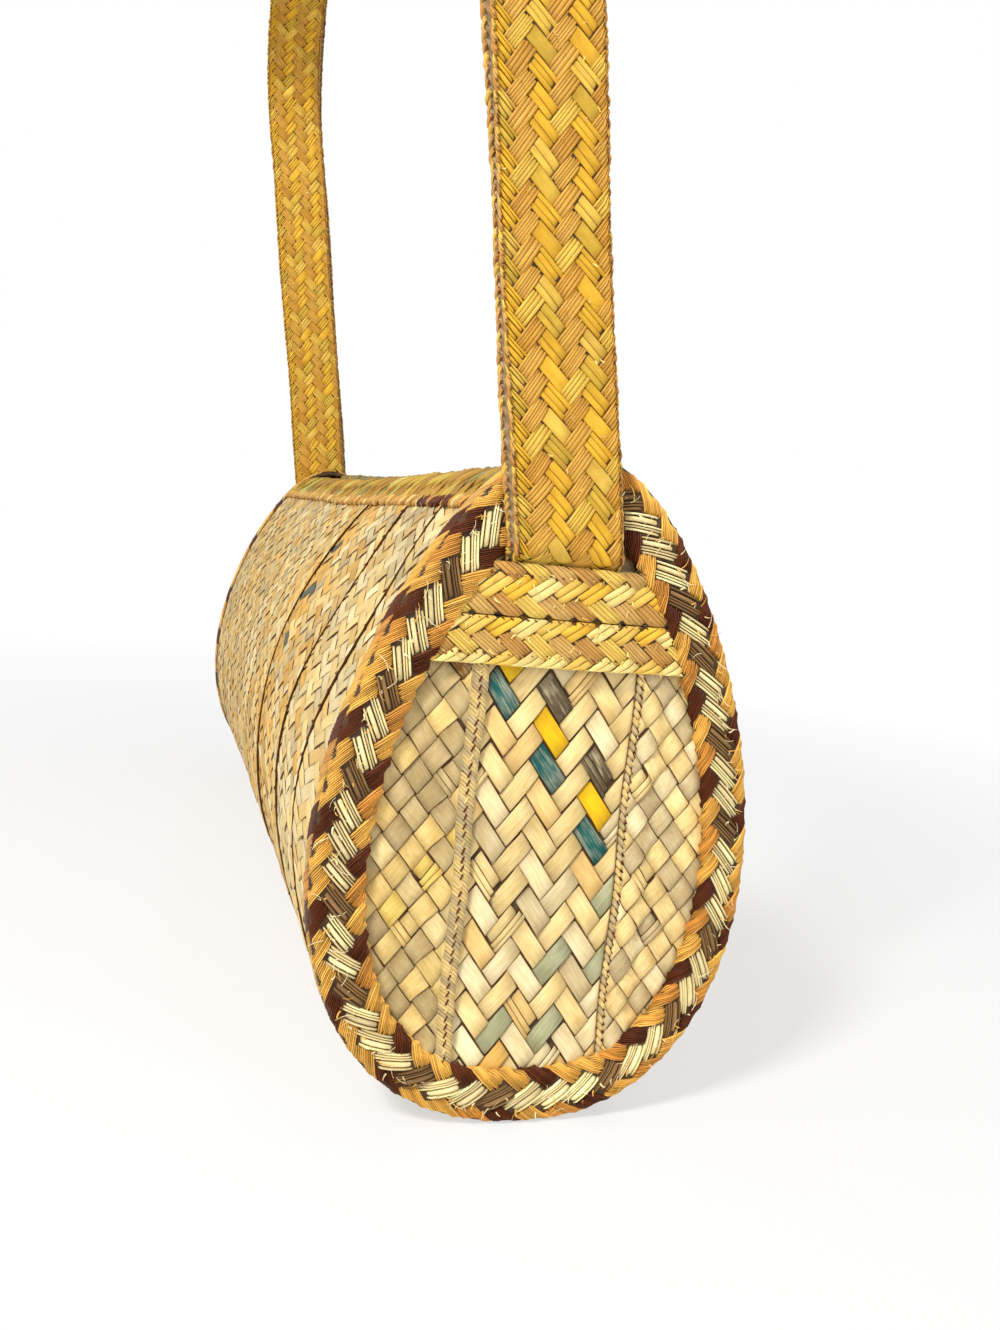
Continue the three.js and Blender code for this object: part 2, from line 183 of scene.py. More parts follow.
def build_plait_tree():
    """Columns of floats, leaning left and right in turn, half a row apart."""
    tree = bpy.data.node_groups.new("Plait", "GeometryNodeTree")
    for name, kind in plait_inputs.items():
        tree.interface.new_socket(name, in_out="INPUT", socket_type=f"NodeSocket{kind}")
    tree.interface.new_socket("Geometry", in_out="OUTPUT", socket_type="NodeSocketGeometry")
    given = tree.nodes.new("NodeGroupInput").outputs
    total = reckon(tree, "MULTIPLY", given["Columns"], given["Rows"])
    line = add_node(tree, "GeometryNodeMeshLine", {"Count": total})
    index = tree.nodes.new("GeometryNodeInputIndex").outputs[0]
    column = reckon(tree, "FLOOR", reckon(tree, "DIVIDE", reckon(tree, "ADD", index, 0.5),
                                          given["Rows"]))
    row = reckon(tree, "SUBTRACT", index, reckon(tree, "MULTIPLY", column, given["Rows"]))
    leaning_right = reckon(tree, "MODULO", column, 2.0)
    x = reckon(tree, "MULTIPLY_ADD", column, given["Column Pitch"], given["First Column"])
    rows_up = reckon(tree, "MULTIPLY_ADD", leaning_right, 0.5, row)
    y = reckon(tree, "MULTIPLY_ADD", rows_up, given["Row Pitch"], given["First Row"])
    points = add_node(tree, "GeometryNodeSetPosition",
                      {"Geometry": line.outputs[0], "Position": vector(tree, x, y)})
    for name, value in (("column", column), ("row", row)):
        points = add_node(tree, "GeometryNodeStoreNamedAttribute",
                          {"Geometry": points.outputs[0], "Name": name, "Value": value},
                          data_type="FLOAT", domain="POINT")
    chance = []
    for step, amount in enumerate(("Turn", "Looseness", "Looseness", "Tilt", "Tilt")):
        seed = reckon(tree, "ADD", given["Seed"], float(step * seed_step))
        random = add_node(tree, "FunctionNodeRandomValue", {2: -1.0, 3: 1.0, 8: seed},
                          data_type="FLOAT")
        chance.append(reckon(tree, "MULTIPLY", random.outputs[1], given[amount]))
    turned = add_node(tree, "FunctionNodeEulerToRotation",
                      {0: vector(tree, chance[3], chance[4], chance[0])})
    breadth = reckon(tree, "MULTIPLY_ADD", chance[1], breadth_swing, 1.0)
    height = reckon(tree, "MULTIPLY_ADD", chance[2], height_swing, 1.0)
    size = vector(tree, breadth, breadth, height)
    both = tree.nodes.new("GeometryNodeJoinGeometry")
    for name, wanted in (("Left Float", 0.0), ("Right Float", 1.0)):
        shape = add_node(tree, "GeometryNodeObjectInfo", {"Object": given[name]})
        floats = add_node(tree, "GeometryNodeInstanceOnPoints",
                          {"Points": points.outputs[0],
                           "Selection": reckon(tree, "COMPARE", leaning_right, wanted, 0.1),
                           "Instance": shape.outputs["Geometry"], "Rotation": turned.outputs[0],
                           "Scale": size})
        tree.links.new(floats.outputs[0], both.inputs[0])
    real = add_node(tree, "GeometryNodeRealizeInstances", {0: both.outputs[0]})
    finished = add_node(tree, "GeometryNodeSetMaterial",
                        {"Geometry": real.outputs[0], "Material": given["Straw"]})
    add_node(tree, "NodeGroupOutput", {0: finished.outputs[0]})
    return tree


plait_tree = build_plait_tree()


def add_object(name, data):
    made = bpy.data.objects.new(name, data)
    bpy.context.scene.collection.objects.link(made)
    return made


def add_mesh(name, co, quads, **labels):
    """An object from points and faces, with a value per point for each label."""
    mesh = bpy.data.meshes.new(name)
    mesh.from_pydata(co, [], quads)
    for label, values in labels.items():
        attribute = mesh.attributes.new(label, "FLOAT", "POINT")
        attribute.data.foreach_set("value", np.asarray(values, np.float32))
    return add_object(name, mesh)


def grid_quads(along, across, first=0):
    """The faces of a grid of points that are listed row by row."""
    corners = [first + j * across + i for j in range(along - 1) for i in range(across - 1)]
    return [(a, a + across, a + across + 1, a + 1) for a in corners]


# The height across a straw and along a float, each as places and the heights there
float_dome = {
    "flat": ((-1, -0.95, -0.82, 0, 0.82, 0.95, 1), (-0.5, 0.6, 0.93, 1, 0.93, 0.6, -0.5)),
    "round": ((-1, -0.7, 0, 0.7, 1), (-0.3, 0.75, 1, 0.75, -0.3)),
    "ridge": ((-1, 0, 1), (-0.2, 1, -0.2)),
    "tight": ((-1, -0.85, 0, 0.85, 1), (0.6, 0.95, 1, 0.95, 0.6)),
    "shingle": ((-1, -0.88, -0.3, 0.85, 1), (-0.5, 1.35, 1.15, 0.95, 0.6)),
}
float_dip = ((-1, -0.94, -0.8, -0.35, 0.35, 0.8, 0.94, 1),
             (-0.6, 0.25, 0.76, 1, 1, 0.76, 0.25, -0.6))
deepest = -0.6


def float_shape(name, reach, spread, crown, straws=1, profile="flat", uneven=0.0, groove=-0.3,
                gap=0.03, cant=(0.0, 0.0), worn=1.0, seed=1):
    """One visible float: straws side by side, dipping under at both ends. reach and spread are
    half its length and half its width as vectors; groove is how high, of the crown, the line
    between two straws lies; cant is the slope at which it lies across and along the strip;
    worn widens the darkened edges of its straws, painted shade where floats meet with some
    browning."""
    rng = np.random.default_rng(seed)
    s, dome = (np.array(v, float) for v in float_dome[profile])
    t, dip = (np.array(v, float) for v in float_dip)
    cuts = np.concatenate([[0], np.cumsum(rng.uniform(1 - uneven * 2, 1 + uneven * 2, straws))])
    cuts = 2 * cuts / cuts[-1] - 1
    co, quads, across, along = [], [], [], []
    for k in range(straws):
        longer, higher = rng.uniform(-uneven, uneven, 2)
        lifted = dome.copy()
        if k > 0:
            lifted[0] = groove
        if k < straws - 1:
            lifted[-1] = groove
        middle, half = (cuts[k] + cuts[k + 1]) / 2, (cuts[k + 1] - cuts[k]) / 2
        quads += grid_quads(len(t), len(s), len(co))
        for j in range(len(t)):
            for i in range(len(s)):
                length = t[j] * (1 + longer * 0.5) + 0.3 * longer * (t[j] + 1)
                width = middle + s[i] * half * (1 - gap)
                x, y = (reach[n] * length + spread[n] * width for n in (0, 1))
                height = crown * (max(lifted[i] + dip[j] - 1, deepest) * (1 + higher))
                co.append((x, y, height + cant[0] * x + cant[1] * y))
                across.append(s[i] * worn)
                along.append(t[j])
    if reach[0] * spread[1] - reach[1] * spread[0] < 0:
        quads = [q[::-1] for q in quads]
    return add_mesh(name, co, quads, across=across, along=along,
                    straw=np.repeat(np.arange(straws), len(s) * len(t)))


float_labels = ("column", "row", "across", "along", "straw")


def plait(columns, rows, column_pitch, row_pitch, first, shapes, looseness, seed, turn=None,
          tilt=None):
    """A flat plait as arrays: X across it, Y along it, Z up from its own middle."""
    carrier = add_object("plait", bpy.data.meshes.new("plait"))
    work = carrier.modifiers.new("plait", "NODES")
    work.node_group = plait_tree
    values = dict(zip(plait_inputs, (
        columns, rows, column_pitch, row_pitch, *first, looseness,
        looseness if turn is None else turn, looseness * 1.3 if tilt is None else tilt, seed,
        *shapes, flat_straw)))
    for item in plait_tree.interface.items_tree:
        if item.in_out == "INPUT":
            work[item.identifier] = values[item.name]
    bpy.context.view_layer.update()
    seen = carrier.evaluated_get(bpy.context.evaluated_depsgraph_get())
    mesh = bpy.data.meshes.new_from_object(seen)
    bpy.data.objects.remove(carrier)
    flat = {"co": np.zeros(len(mesh.vertices) * 3), "quads": np.zeros(len(mesh.loops), int)}
    mesh.vertices.foreach_get("co", flat["co"])
    mesh.loops.foreach_get("vertex_index", flat["quads"])
    flat["co"] = flat["co"].reshape(-1, 3)
    flat["quads"] = flat["quads"].reshape(-1, 4)
    for label in float_labels:
        flat[label] = np.zeros(len(mesh.vertices))
        mesh.attributes[label].data.foreach_get("value", flat[label])
    bpy.data.meshes.remove(mesh)
    return flat


def keep_faces(flat, wanted):
    """The plait with only those faces and their points."""
    quads = flat["quads"][wanted]
    used, renumbered = np.unique(quads, return_inverse=True)
    kept = {label: values[used] for label, values in flat.items() if label != "quads"}
    kept["quads"] = renumbered.reshape(-1, 4)
    return kept


def by_float(flat, answer):
    """What answer(column, row) says of each point's float, and the two numbers themselves."""
    pairs = np.stack([flat["column"], flat["row"]], 1).round().astype(int)
    floats, which = np.unique(pairs, axis=0, return_inverse=True)
    return np.array([answer(column, row) for column, row in floats])[which.ravel()], pairs


def keep_floats(flat, wanted):
    """The plait with only the floats that wanted(column, row) names."""
    return keep_faces(flat, by_float(flat, wanted)[0][flat["quads"][:, 0]])


def mixed_plait(sets, which, *layout, **looks):
    """A plait with floats of several makes, as a list of parts: which(column, row) is the number
    of the make."""
    return [keep_floats(plait(*layout, shapes, **looks),
                        lambda column, row: which(column, row) == number)
            for number, shapes in enumerate(sets)]


least_area = 1e-9


def trim(flat, x_range, y_range, edge=1.2 * mm):
    """The plait cut to a strip, with the floats that cross its edges folded down there."""
    co = flat["co"]
    low, high = np.stack([x_range, y_range], 1)
    inside = ((co[:, :2] > low) & (co[:, :2] < high)).all(1)
    flat = keep_faces(flat, inside[flat["quads"]].any(1))
    co = flat["co"]
    co[:, :2] = np.clip(co[:, :2], low, high)
    room = np.minimum(co[:, :2] - low, high - co[:, :2]).min(1)
    co[:, 2] = np.where(co[:, 2] > 0, co[:, 2] * smooth_step(room / edge + 0.15), co[:, 2])
    a, b, c, d = (co[flat["quads"][:, k]] for k in range(4))
    area = np.linalg.norm(np.cross(c - a, d - b), axis=1)
    return keep_faces(flat, area > least_area)


lining_cell = 4 * mm


def lining(x_range, y_range, depth, steps):
    """The closed sheet just under the floats of a strip, as arrays like a plait's. Its lot is 0
    on top, between the floats, and 1 inside the bag."""
    nx, ny = steps
    gx, gy = (g.ravel() for g in np.meshgrid(np.linspace(*x_range, nx + 1),
                                             np.linspace(*y_range, ny + 1), indexing="ij"))
    top = np.stack([gx, gy, np.zeros(len(gx))], 1)
    at = np.arange((nx + 1) * (ny + 1)).reshape(nx + 1, ny + 1)
    upper = np.stack([at[:-1, :-1], at[1:, :-1], at[1:, 1:], at[:-1, 1:]], -1).reshape(-1, 4)
    n = len(top)
    quads = [upper, upper[:, ::-1] + n]
    for border in (at[:, 0], at[-1, :], at[::-1, -1], at[0, ::-1]):
        p, q = border[:-1], border[1:]
        quads.append(np.stack([q, p, p + n, q + n], -1))
    flat = {label: np.zeros(2 * n) for label in float_labels}
    flat["co"] = np.concatenate([top, top - np.array([0, 0, depth])])
    flat["quads"] = np.concatenate(quads)
    flat["lot"] = np.repeat([0.0, 1.0], n)
    flat["colour"] = np.tile(lining_colour, (2 * n, 1))
    flat["across"], flat["along"] = flat["co"][:, 0] / lining_cell, flat["co"][:, 1] / lining_cell
    return flat


def straw_colour(red, green, blue, dyed=0.0):
    """A colour as it shows in print, 0 to 255, made linear for the shader, and how much of it
    is dye that has rubbed off in streaks."""
    value = np.array([red, green, blue]) / 255
    linear = np.where(value < 0.04045, value / 12.92, ((value + 0.055) / 1.055) ** 2.4)
    return np.append(linear, dyed)


cream, pale_cream = straw_colour(245, 224, 166), straw_colour(247, 235, 196)
warm_cream, greyed_cream = straw_colour(240, 209, 144), straw_colour(214, 199, 162)
ochre, golden = straw_colour(226, 174, 80), straw_colour(234, 192, 108)
# The seam colour here is a painted shadow, for the crevice along each lap of the wall.
blue_grey, seam_shadow_brown = straw_colour(92, 96, 88), straw_colour(92, 58, 30)
lining_colour = straw_colour(120, 88, 48)
# So many lots of tone and so many random draws, given out by products of a float's numbers
lots_made, draws = 997, 4001


def colour_floats(flat, choose, seed, variety=0.16):
    """Gives each point its straw's colour: choose(column, row) gives the float's, and every
    straw in it is a little lighter or darker."""
    chosen, pairs = by_float(flat, choose)
    tones = 1 + variety * (np.random.default_rng(seed).random(lots_made) - 0.5)
    lots = (pairs[:, 0] * 131 + pairs[:, 1] * 17 + flat["straw"].astype(int) * 29) % lots_made
    flat["lot"] = lots.astype(float)
    flat["colour"] = chosen * tones[lots][:, None]
    return flat


def strand_number(column, row, slope):
    """The strand that a float belongs to, and which way it leans. Strands cross slope rows from
    one column to the next but one."""
    pair = column // 2
    return (slope * pair + row, 0) if column % 2 == 0 else (slope * pair - row, 1)


def strand_chooser(colours, shares, slope, seed, special=()):
    """Colours picked strand by strand, in the given shares, with a few named strands apart."""
    rng = np.random.default_rng(seed)
    shares = np.array(shares, float) / sum(shares)
    table = rng.choice(len(colours), size=(2, draws), p=shares)
    tones = rng.normal(1, 0.045, size=(2, draws))

    def choose(column, row):
        number, lean = strand_number(column, row, slope)
        if (number, lean) in special:
            return special[number, lean]
        place = (number * 37) % draws
        return colours[table[lean, place]] * tones[lean, place]

    return choose


def build_fibre_group():
    """Grain of a palm straw: long fine fibres, and masks of its edges and ends, which darken with
    painted shade where floats meet and curve under one another, and with some browning.
    """
    group = bpy.data.node_groups.new("Palm fibre", "ShaderNodeTree")
    for way, names in (("INPUT", ("Across", "Along", "Lot", "Fineness")),
                       ("OUTPUT", ("Shade", "Side", "Tip", "Height"))):
        for name in names:
            group.interface.new_socket(name, in_out=way, socket_type="NodeSocketFloat")
    given = group.nodes.new("NodeGroupInput").outputs

    def stretched_noise(across, along, lot, **looks):
        place = [reckon(group, "MULTIPLY", given[name], factor)
                 for name, factor in (("Across", across), ("Along", along), ("Lot", lot))]
        inputs = {"Vector": vector(group, *place), "Scale": 1.0, **looks}
        return add_node(group, "ShaderNodeTexNoise", inputs).outputs[0]

    fibres = stretched_noise(given["Fineness"], 0.9, 3.7, Detail=3.0, Roughness=0.65)
    clouds = stretched_noise(0.5, 0.7, 5.1, Detail=2.0)
    shade = reckon(group, "MULTIPLY_ADD", clouds, 0.5, reckon(group, "MULTIPLY", fibres, 0.5))
    results = {"Shade": remap(group, shade, 0.3, 0.7), "Height": fibres}
    depth = remap(group, clouds, 0.35, 0.62, 0.3, 1.0)
    # Side and Tip darken the edges and ends. This is painted shade in the joins between floats,
    # broken up by the clouds, with a broader painted shade towards each end as it curves under.
    for name, way, low, high, most in (("Side", "Across", 0.9, 0.99, 0.06),
                                       ("Tip", "Along", 0.88, 0.97, 0.26)):
        out_from_middle = reckon(group, "ABSOLUTE", given[way])
        broken = reckon(group, "MULTIPLY", remap(group, out_from_middle, low, high), depth)
        curl_shade = remap(group, out_from_middle, 0.3, 1.0, 0.0, most)
        results[name] = reckon(group, "MAXIMUM", broken, curl_shade)
    add_node(group, "NodeGroupOutput", results)
    return group


fibre_group = build_fibre_group()


def tinted(tree, colour, factor, shade, blend="MULTIPLY"):
    """The colour, moved towards a shade by a factor."""
    mixed = add_node(tree, "ShaderNodeMix", {0: factor, 6: colour, 7: shade},
                     data_type="RGBA", blend_type=blend)
    return mixed.outputs[2]


def new_material(name):
    """A material, its tree and its shader."""
    material = bpy.data.materials.new(name)
    material.use_nodes = True
    return material, material.node_tree, material.node_tree.nodes["Principled BSDF"]


def read(tree, label):
    """A value that a mesh keeps for each of its points."""
    return add_node(tree, "ShaderNodeAttribute", attribute_name=label).outputs["Fac"]


def relief(tree, height, strength, distance):
    inputs = {"Strength": strength, "Distance": distance, "Height": height}
    return add_node(tree, "ShaderNodeBump", inputs).outputs[0]


# The last colour is the brown of the darkened edges and ends: painted shade where floats meet,
# with some browning of the straw.
faded_straw, bleached = (0.62, 0.55, 0.36, 1), (1.13, 1.1, 1.03, 1)
darkened, shaded_browned_edge = (0.78, 0.67, 0.47, 1), (0.14, 0.075, 0.03, 1)


def straw_material(name, fineness, roughness, bump, side_shade, tip_shade, grain, gloss):
    """Straw that takes its colour from the float and its grain from the float's own directions."""
    material, tree, shader = new_material(name)
    strand = add_node(tree, "ShaderNodeAttribute", attribute_name="straw_colour").outputs
    fibre = add_node(tree, "ShaderNodeGroup",
                     {"Across": read(tree, "across"), "Along": read(tree, "along"),
                      "Lot": read(tree, "lot"), "Fineness": fineness},
                     node_tree=fibre_group).outputs
    faded = reckon(tree, "MULTIPLY", strand["Alpha"], remap(tree, fibre["Shade"], 0.45, 0.85))
    high = reckon(tree, "MULTIPLY", fibre["Shade"], grain)
    low = reckon(tree, "SUBTRACT", grain, high)
    # Edges and ends are darkened towards that brown: painted shade in the joins between floats,
    # with some browning.
    worn = reckon(tree, "MAXIMUM", reckon(tree, "MULTIPLY", fibre["Side"], side_shade),
                  reckon(tree, "MULTIPLY", fibre["Tip"], tip_shade))
    lit = tinted(tree, strand["Color"], faded, faded_straw, "MIX")
    for amount, shade in ((high, bleached), (low, darkened), (worn, shaded_browned_edge)):
        lit = tinted(tree, lit, amount, shade)
    feed(tree, shader, {"Base Color": lit, "Specular IOR Level": gloss,
                        "Roughness": reckon(tree, "MULTIPLY_ADD", low, 0.2, roughness),
                        "Normal": relief(tree, fibre["Height"], bump, 0.3 * mm)})
    return material


flat_straw = straw_material("palm_splint", fineness=5.0, roughness=0.42, bump=0.35,
                            side_shade=1.6, tip_shade=1.5, grain=1.15, gloss=0.28)
wall_straw = straw_material("wall_splint", fineness=3.0, roughness=0.5, bump=0.2,
                            side_shade=1.4, tip_shade=0.5, grain=0.6, gloss=0.12)


# The dark brown is painted shade for the gaps between floats, where the sheet under them shows;
# the other colour is the straw inside the bag.
gap_shade_brown, inner_straw = (0.11, 0.06, 0.024, 1), (0.66, 0.48, 0.26, 1)
lattice_shade, spot_shade = (0.55, 0.5, 0.42, 1), (0.6, 0.52, 0.42, 1)


def build_lining_material():
    """The sheet under the floats: rough, painted dark as shade between them and straw-coloured
    inside the bag.
    """
    material, tree, shader = new_material("palm_lining")
    across, along = read(tree, "across"), read(tree, "along")
    left, right = (
        reckon(tree, "SINE", reckon(tree, "MULTIPLY", reckon(tree, way, across, along), 3.1))
        for way in ("ADD", "SUBTRACT"))
    lattice = remap(tree, reckon(tree, "MULTIPLY", left, right), -0.6, 0.6)
    place = tree.nodes.new("ShaderNodeTexCoord").outputs["Object"]
    spots = add_node(tree, "ShaderNodeTexNoise", {"Vector": place, "Scale": 90.0, "Detail": 3.0})
    base = tinted(tree, gap_shade_brown, read(tree, "lot"), inner_straw, "MIX")
    base = tinted(tree, base, lattice, lattice_shade)
    base = tinted(tree, base, spots.outputs[0], spot_shade)
    feed(tree, shader, {"Base Color": base, "Roughness": 0.85,
                        "Normal": relief(tree, lattice, 0.5, 0.6 * mm)})
    return material


lining_straw = build_lining_material()


probe_step = 1e-5


def lay(name, parts, materials, body, nodes):
    """One piece from flat parts, each (arrays, surface, material number), every part laid on its
    surface. It rides on the body and stands for the CAD nodes."""
    co, quads, index = [], [], []
    start = 0
    for flat, surface, number in parts:
        placed = surface(flat["co"])
        corners = np.array([[0, 0, 0], [1, 0, 0], [0, 1, 0], [0, 0, 1]])
        origin, *moved = surface(flat["co"].mean(0) + corners * probe_step)
        flipped = np.linalg.det(np.array(moved) - origin) < 0
        faces = flat["quads"][:, ::-1] if flipped else flat["quads"]
        co.append(placed)
        quads.append(faces + start)
        index.append(np.full(len(faces), number))
        start += len(placed)
    across, along, lot, colour = (np.concatenate([flat[label] for flat, _, _ in parts])
                                  for label in ("across", "along", "lot", "colour"))
    piece = add_mesh(name, np.concatenate(co).tolist(), np.concatenate(quads).tolist(),
                     across=across, along=along, lot=lot)
    mesh = piece.data
    mesh.polygons.foreach_set("material_index", np.concatenate(index).astype(np.int32))
    attribute = mesh.attributes.new("straw_colour", "FLOAT_COLOR", "POINT")
    attribute.data.foreach_set("color", np.clip(colour, 0, 1).ravel().astype(np.float32))
    for material in materials:
        mesh.materials.append(material)
    mesh.shade_smooth()
    mesh.update()
    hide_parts(*nodes)
    if body:
        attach(piece, body)
    return piece


twill_across, twill_along = 3.96 * mm, 5.3 * mm
tuck_under = 1.06


def twill_floats(name, crown, straws=(1, 1), across=twill_across, along=twill_along, cells=2,
                 tuck=tuck_under, **shape):
    """The left and the right leaning float of a plait with that half cell. A list gives each of
    the two its own value."""
    left, right = (across, -along), (across, along)
    scale = cells / 2 * tuck
    pair = []
    for k, (reach, spread) in enumerate(((left, right), (right, (-across, along)))):
        own = {key: value[k] if isinstance(value, list) else value
               for key, value in shape.items()}
        pair.append(float_shape(
            f"{name}_float_{k}", (reach[0] * scale, reach[1] * scale),
            (spread[0] / 2, spread[1] / 2), crown, straws[k], **own))
    return pair


splint_crown, pressed_thickness = 0.5 * mm, 0.75 * mm
wall_across, wall_along = 5.1 * mm, 2.9 * mm
wall_floats = [twill_floats(f"wall_{profile}", splint_crown, across=wall_across,
                            along=wall_along, profile=profile) for profile in ("tight", "shingle")]
wall_tint = np.array([0.88, 0.82, 0.7, 1])
wall_shades = wall_tint * np.array((cream, warm_cream, golden, greyed_cream, pale_cream))
wall_start, wall_stop = back_lip_arc + clearance, wall_round - front_lip_arc - clearance
wall_length = wall_stop - wall_start
seams = wall_end - np.concatenate([[0], np.cumsum(visible_widths)])
seam_waves = ((0, 0), (11, 70), (11, 60), (7, 44), (5, 50), (4, 66), (4, 40), (3, 60), (0, 0))
calm_from_lip, calm_reach, calm_share = 270, 90, 0.25
seam_stretch, seam_rest = 20, 0.35
loose_edge, loose_reach, loose_wave = 0.4 * mm, 7 * mm, 17 * mm


def seam_at(k, distance):
    """X of a seam between two strips: sewn by hand, it wanders, less so on the back wall."""
    height, phase = seam_waves[k]
    from_lip = (wall_round - distance) / mm
    by_front = smooth_step((calm_from_lip - from_lip) / calm_reach)
    wander = height * mm * (calm_share + (1 - calm_share) * by_front)
    return seams[k] + wander * (np.cos((from_lip - phase) / seam_stretch) - seam_rest)


for k, visible in enumerate(visible_widths):
    is_last = k == len(visible_widths) - 1
    width = visible + (0 if is_last else strip_lap)
    sunk = 0.35 * mm if k > 3 else 0
    drop = 0 if is_last else strip_drop(visible, pressed_thickness) - sunk

    def on_wall(p):
        distance = wall_start + p[:, 1]
        right, left = seam_at(k, distance), seam_at(k + 1, distance)
        x = right - p[:, 0] * (right - left) / visible
        loose = 0.5 + 0.5 * np.sin(distance / loose_wave + 1.9 * k)
        raised = loose_edge * loose * smooth_step(1 - p[:, 0] / loose_reach) * (0 < k < 4)
        outward = wall_outer - sunk - drop * p[:, 0] / width - splint_crown + p[:, 2] + raised
        y, z = egg(wall_angle(distance), outward + slump(x, distance))
        return np.stack([x, y, z], 1)

    columns = int(width / (2 * wall_across)) + 3
    rows = int(wall_length / (2 * wall_along)) + 3
    shown = np.random.default_rng(k).random(draws) < 0.55
    patches = np.random.default_rng(50 + k).uniform(0.84, 1.06, draws)
    shares = (5, 2, 0.3, 2, 5) if k < 2 else (4, 5, 3.5, 1, 2) if k < 4 else (4, 5, 1.5, 1.5, 2)
    pick = strand_chooser(wall_shades, shares, 2, 31 + k)

    def wall_make(column, row):
        """Whether a float stands up at its lower side: three side by side do so together."""
        return int(shown[(column // 3 * 211 + row * 13) % draws])

    def wall_pick(column, row):
        """A few blue-grey floats and many golden ones lie along the third strip's far edge."""
        if k == 2 and (column, rows - row) in {(8, 9), (8, 13), (7, 13), (7, 17)}:
            return blue_grey
        gilt = k == 2 and column > 6 and row % 3
        tone = patches[(column // 2 * 57 + row // 3 * 101) % draws]
        return tone * (golden * wall_tint if gilt else pick(column, row))

    parts = []
    for make, flat in enumerate(mixed_plait(
            wall_floats, wall_make, columns, rows, 2 * wall_across, 2 * wall_along,
            (-wall_across * (k % 3 * 0.15), -wall_along), looseness=0.03, seed=11 + k, tilt=0.02)):
        flat = trim(flat, (0, width), (0, wall_length), 0.6 * mm)
        # On a float that stands up at its lower side, that edge is darkened further in: a painted
        # shadow under the raised edge. The other edges are darkened less.
        quiet = (flat["across"] > 0) | (make == 0)
        shadow_edge_reach = np.where(flat["column"] % 2 > 0.5, 1.27, 1.1)
        flat["across"] *= np.where(quiet, 0.84, shadow_edge_reach)
        parts.append((colour_floats(flat, wall_pick, variety=0.2, seed=k), on_wall, 0))
    if k:
        # A thin dark strip just under each lapped edge: a painted shadow in the seam's crevice.
        edge = lining((-0.2 * mm, 0.6 * mm), (0, wall_length), 0.7 * mm, (1, 150))
        edge["co"][:, 2] += 0.15 * mm
        edge["colour"][:] = seam_shadow_brown
        parts.append((edge, on_wall, 0))
    under = lining((0.5 * mm, width - 0.2 * mm), (0, wall_length),
                   pressed_thickness - splint_crown, (8, 150))
    lay(f"wall_strip_{k + 1}_plait", [*parts, (under, on_wall, 1)],
        (wall_straw, lining_straw), "bag", [f"wall_strip_{k + 1}"])


# Lips of the mouth
# The cut ends of the wall's strips are closed between the two sides of a folded ochre braid,
# sewn down on the outside with a twisted straw. Towards the right end that seam is whipped
# with dark brown straw.
bright_yellow, straw_yellow = straw_colour(242, 194, 66), straw_colour(242, 205, 102)
pale_yellow = straw_colour(248, 228, 150)
tan, brown_orange = straw_colour(222, 178, 104), straw_colour(206, 154, 82)
dark_brown, moss_grey = straw_colour(98, 48, 18), straw_colour(172, 164, 122)
lip_tint = np.array([0.69, 0.73, 0.41, 1])
lip_shades = lip_tint * np.array((ochre, straw_yellow, brown_orange, pale_yellow, moss_grey))
lip_across, lip_along = 5.2 * mm, 4.6 * mm
bundle_crown, rope_pitch, lip_skin = 0.8 * mm, 3.3 * mm, 0.9 * mm
wall_inner = wall_outer - strip_drop(visible_widths.min()) - sheet_thickness
rim_wall_width = 11 * mm
lip_reach = panel_front - rim_wall_width - clearance
bundle_straw = straw_material("straw_bundle", fineness=1.6, roughness=0.4, bump=0.25,
                              side_shade=1.1, tip_shade=1.0, grain=1.0, gloss=0.22)
lip_floats = twill_floats("lip", bundle_crown, (2, 3), lip_across, lip_along, groove=0.5,
                          uneven=0.1, seed=5)
rope_floats = twill_floats("rope", bundle_crown, (3, 3), 1.3 * mm, 2.3 * mm, groove=0.4, cells=3)


def bent_path(corners, side=1):
    """A line through the corners with its bends rounded. Gives its length and a function from
    the distance along it to its two coordinates and its normal, left of it where side is 1."""
    line = np.array(corners, float)
    for _ in range(3):
        near = line[:-1] * 0.75 + line[1:] * 0.25
        far = line[:-1] * 0.25 + line[1:] * 0.75
        middle = np.stack([near, far], 1).reshape(-1, 2)
        line = np.concatenate([line[:1], middle, line[-1:]])
    walked = np.concatenate([[0], np.cumsum(np.hypot(*np.diff(line, axis=0).T))])
    tangent = np.gradient(line, walked, axis=0)
    tangent /= np.linalg.norm(tangent, axis=1)[:, None]

    def at(distance):
        inside = np.clip(distance, 0, walked[-1])
        a, b, ta, tb = (np.interp(inside, walked, v) for v in (*line.T, *tangent.T))
        past = distance - inside
        return a + ta * past, b + tb * past, -tb * side, ta * side

    return walked[-1], at


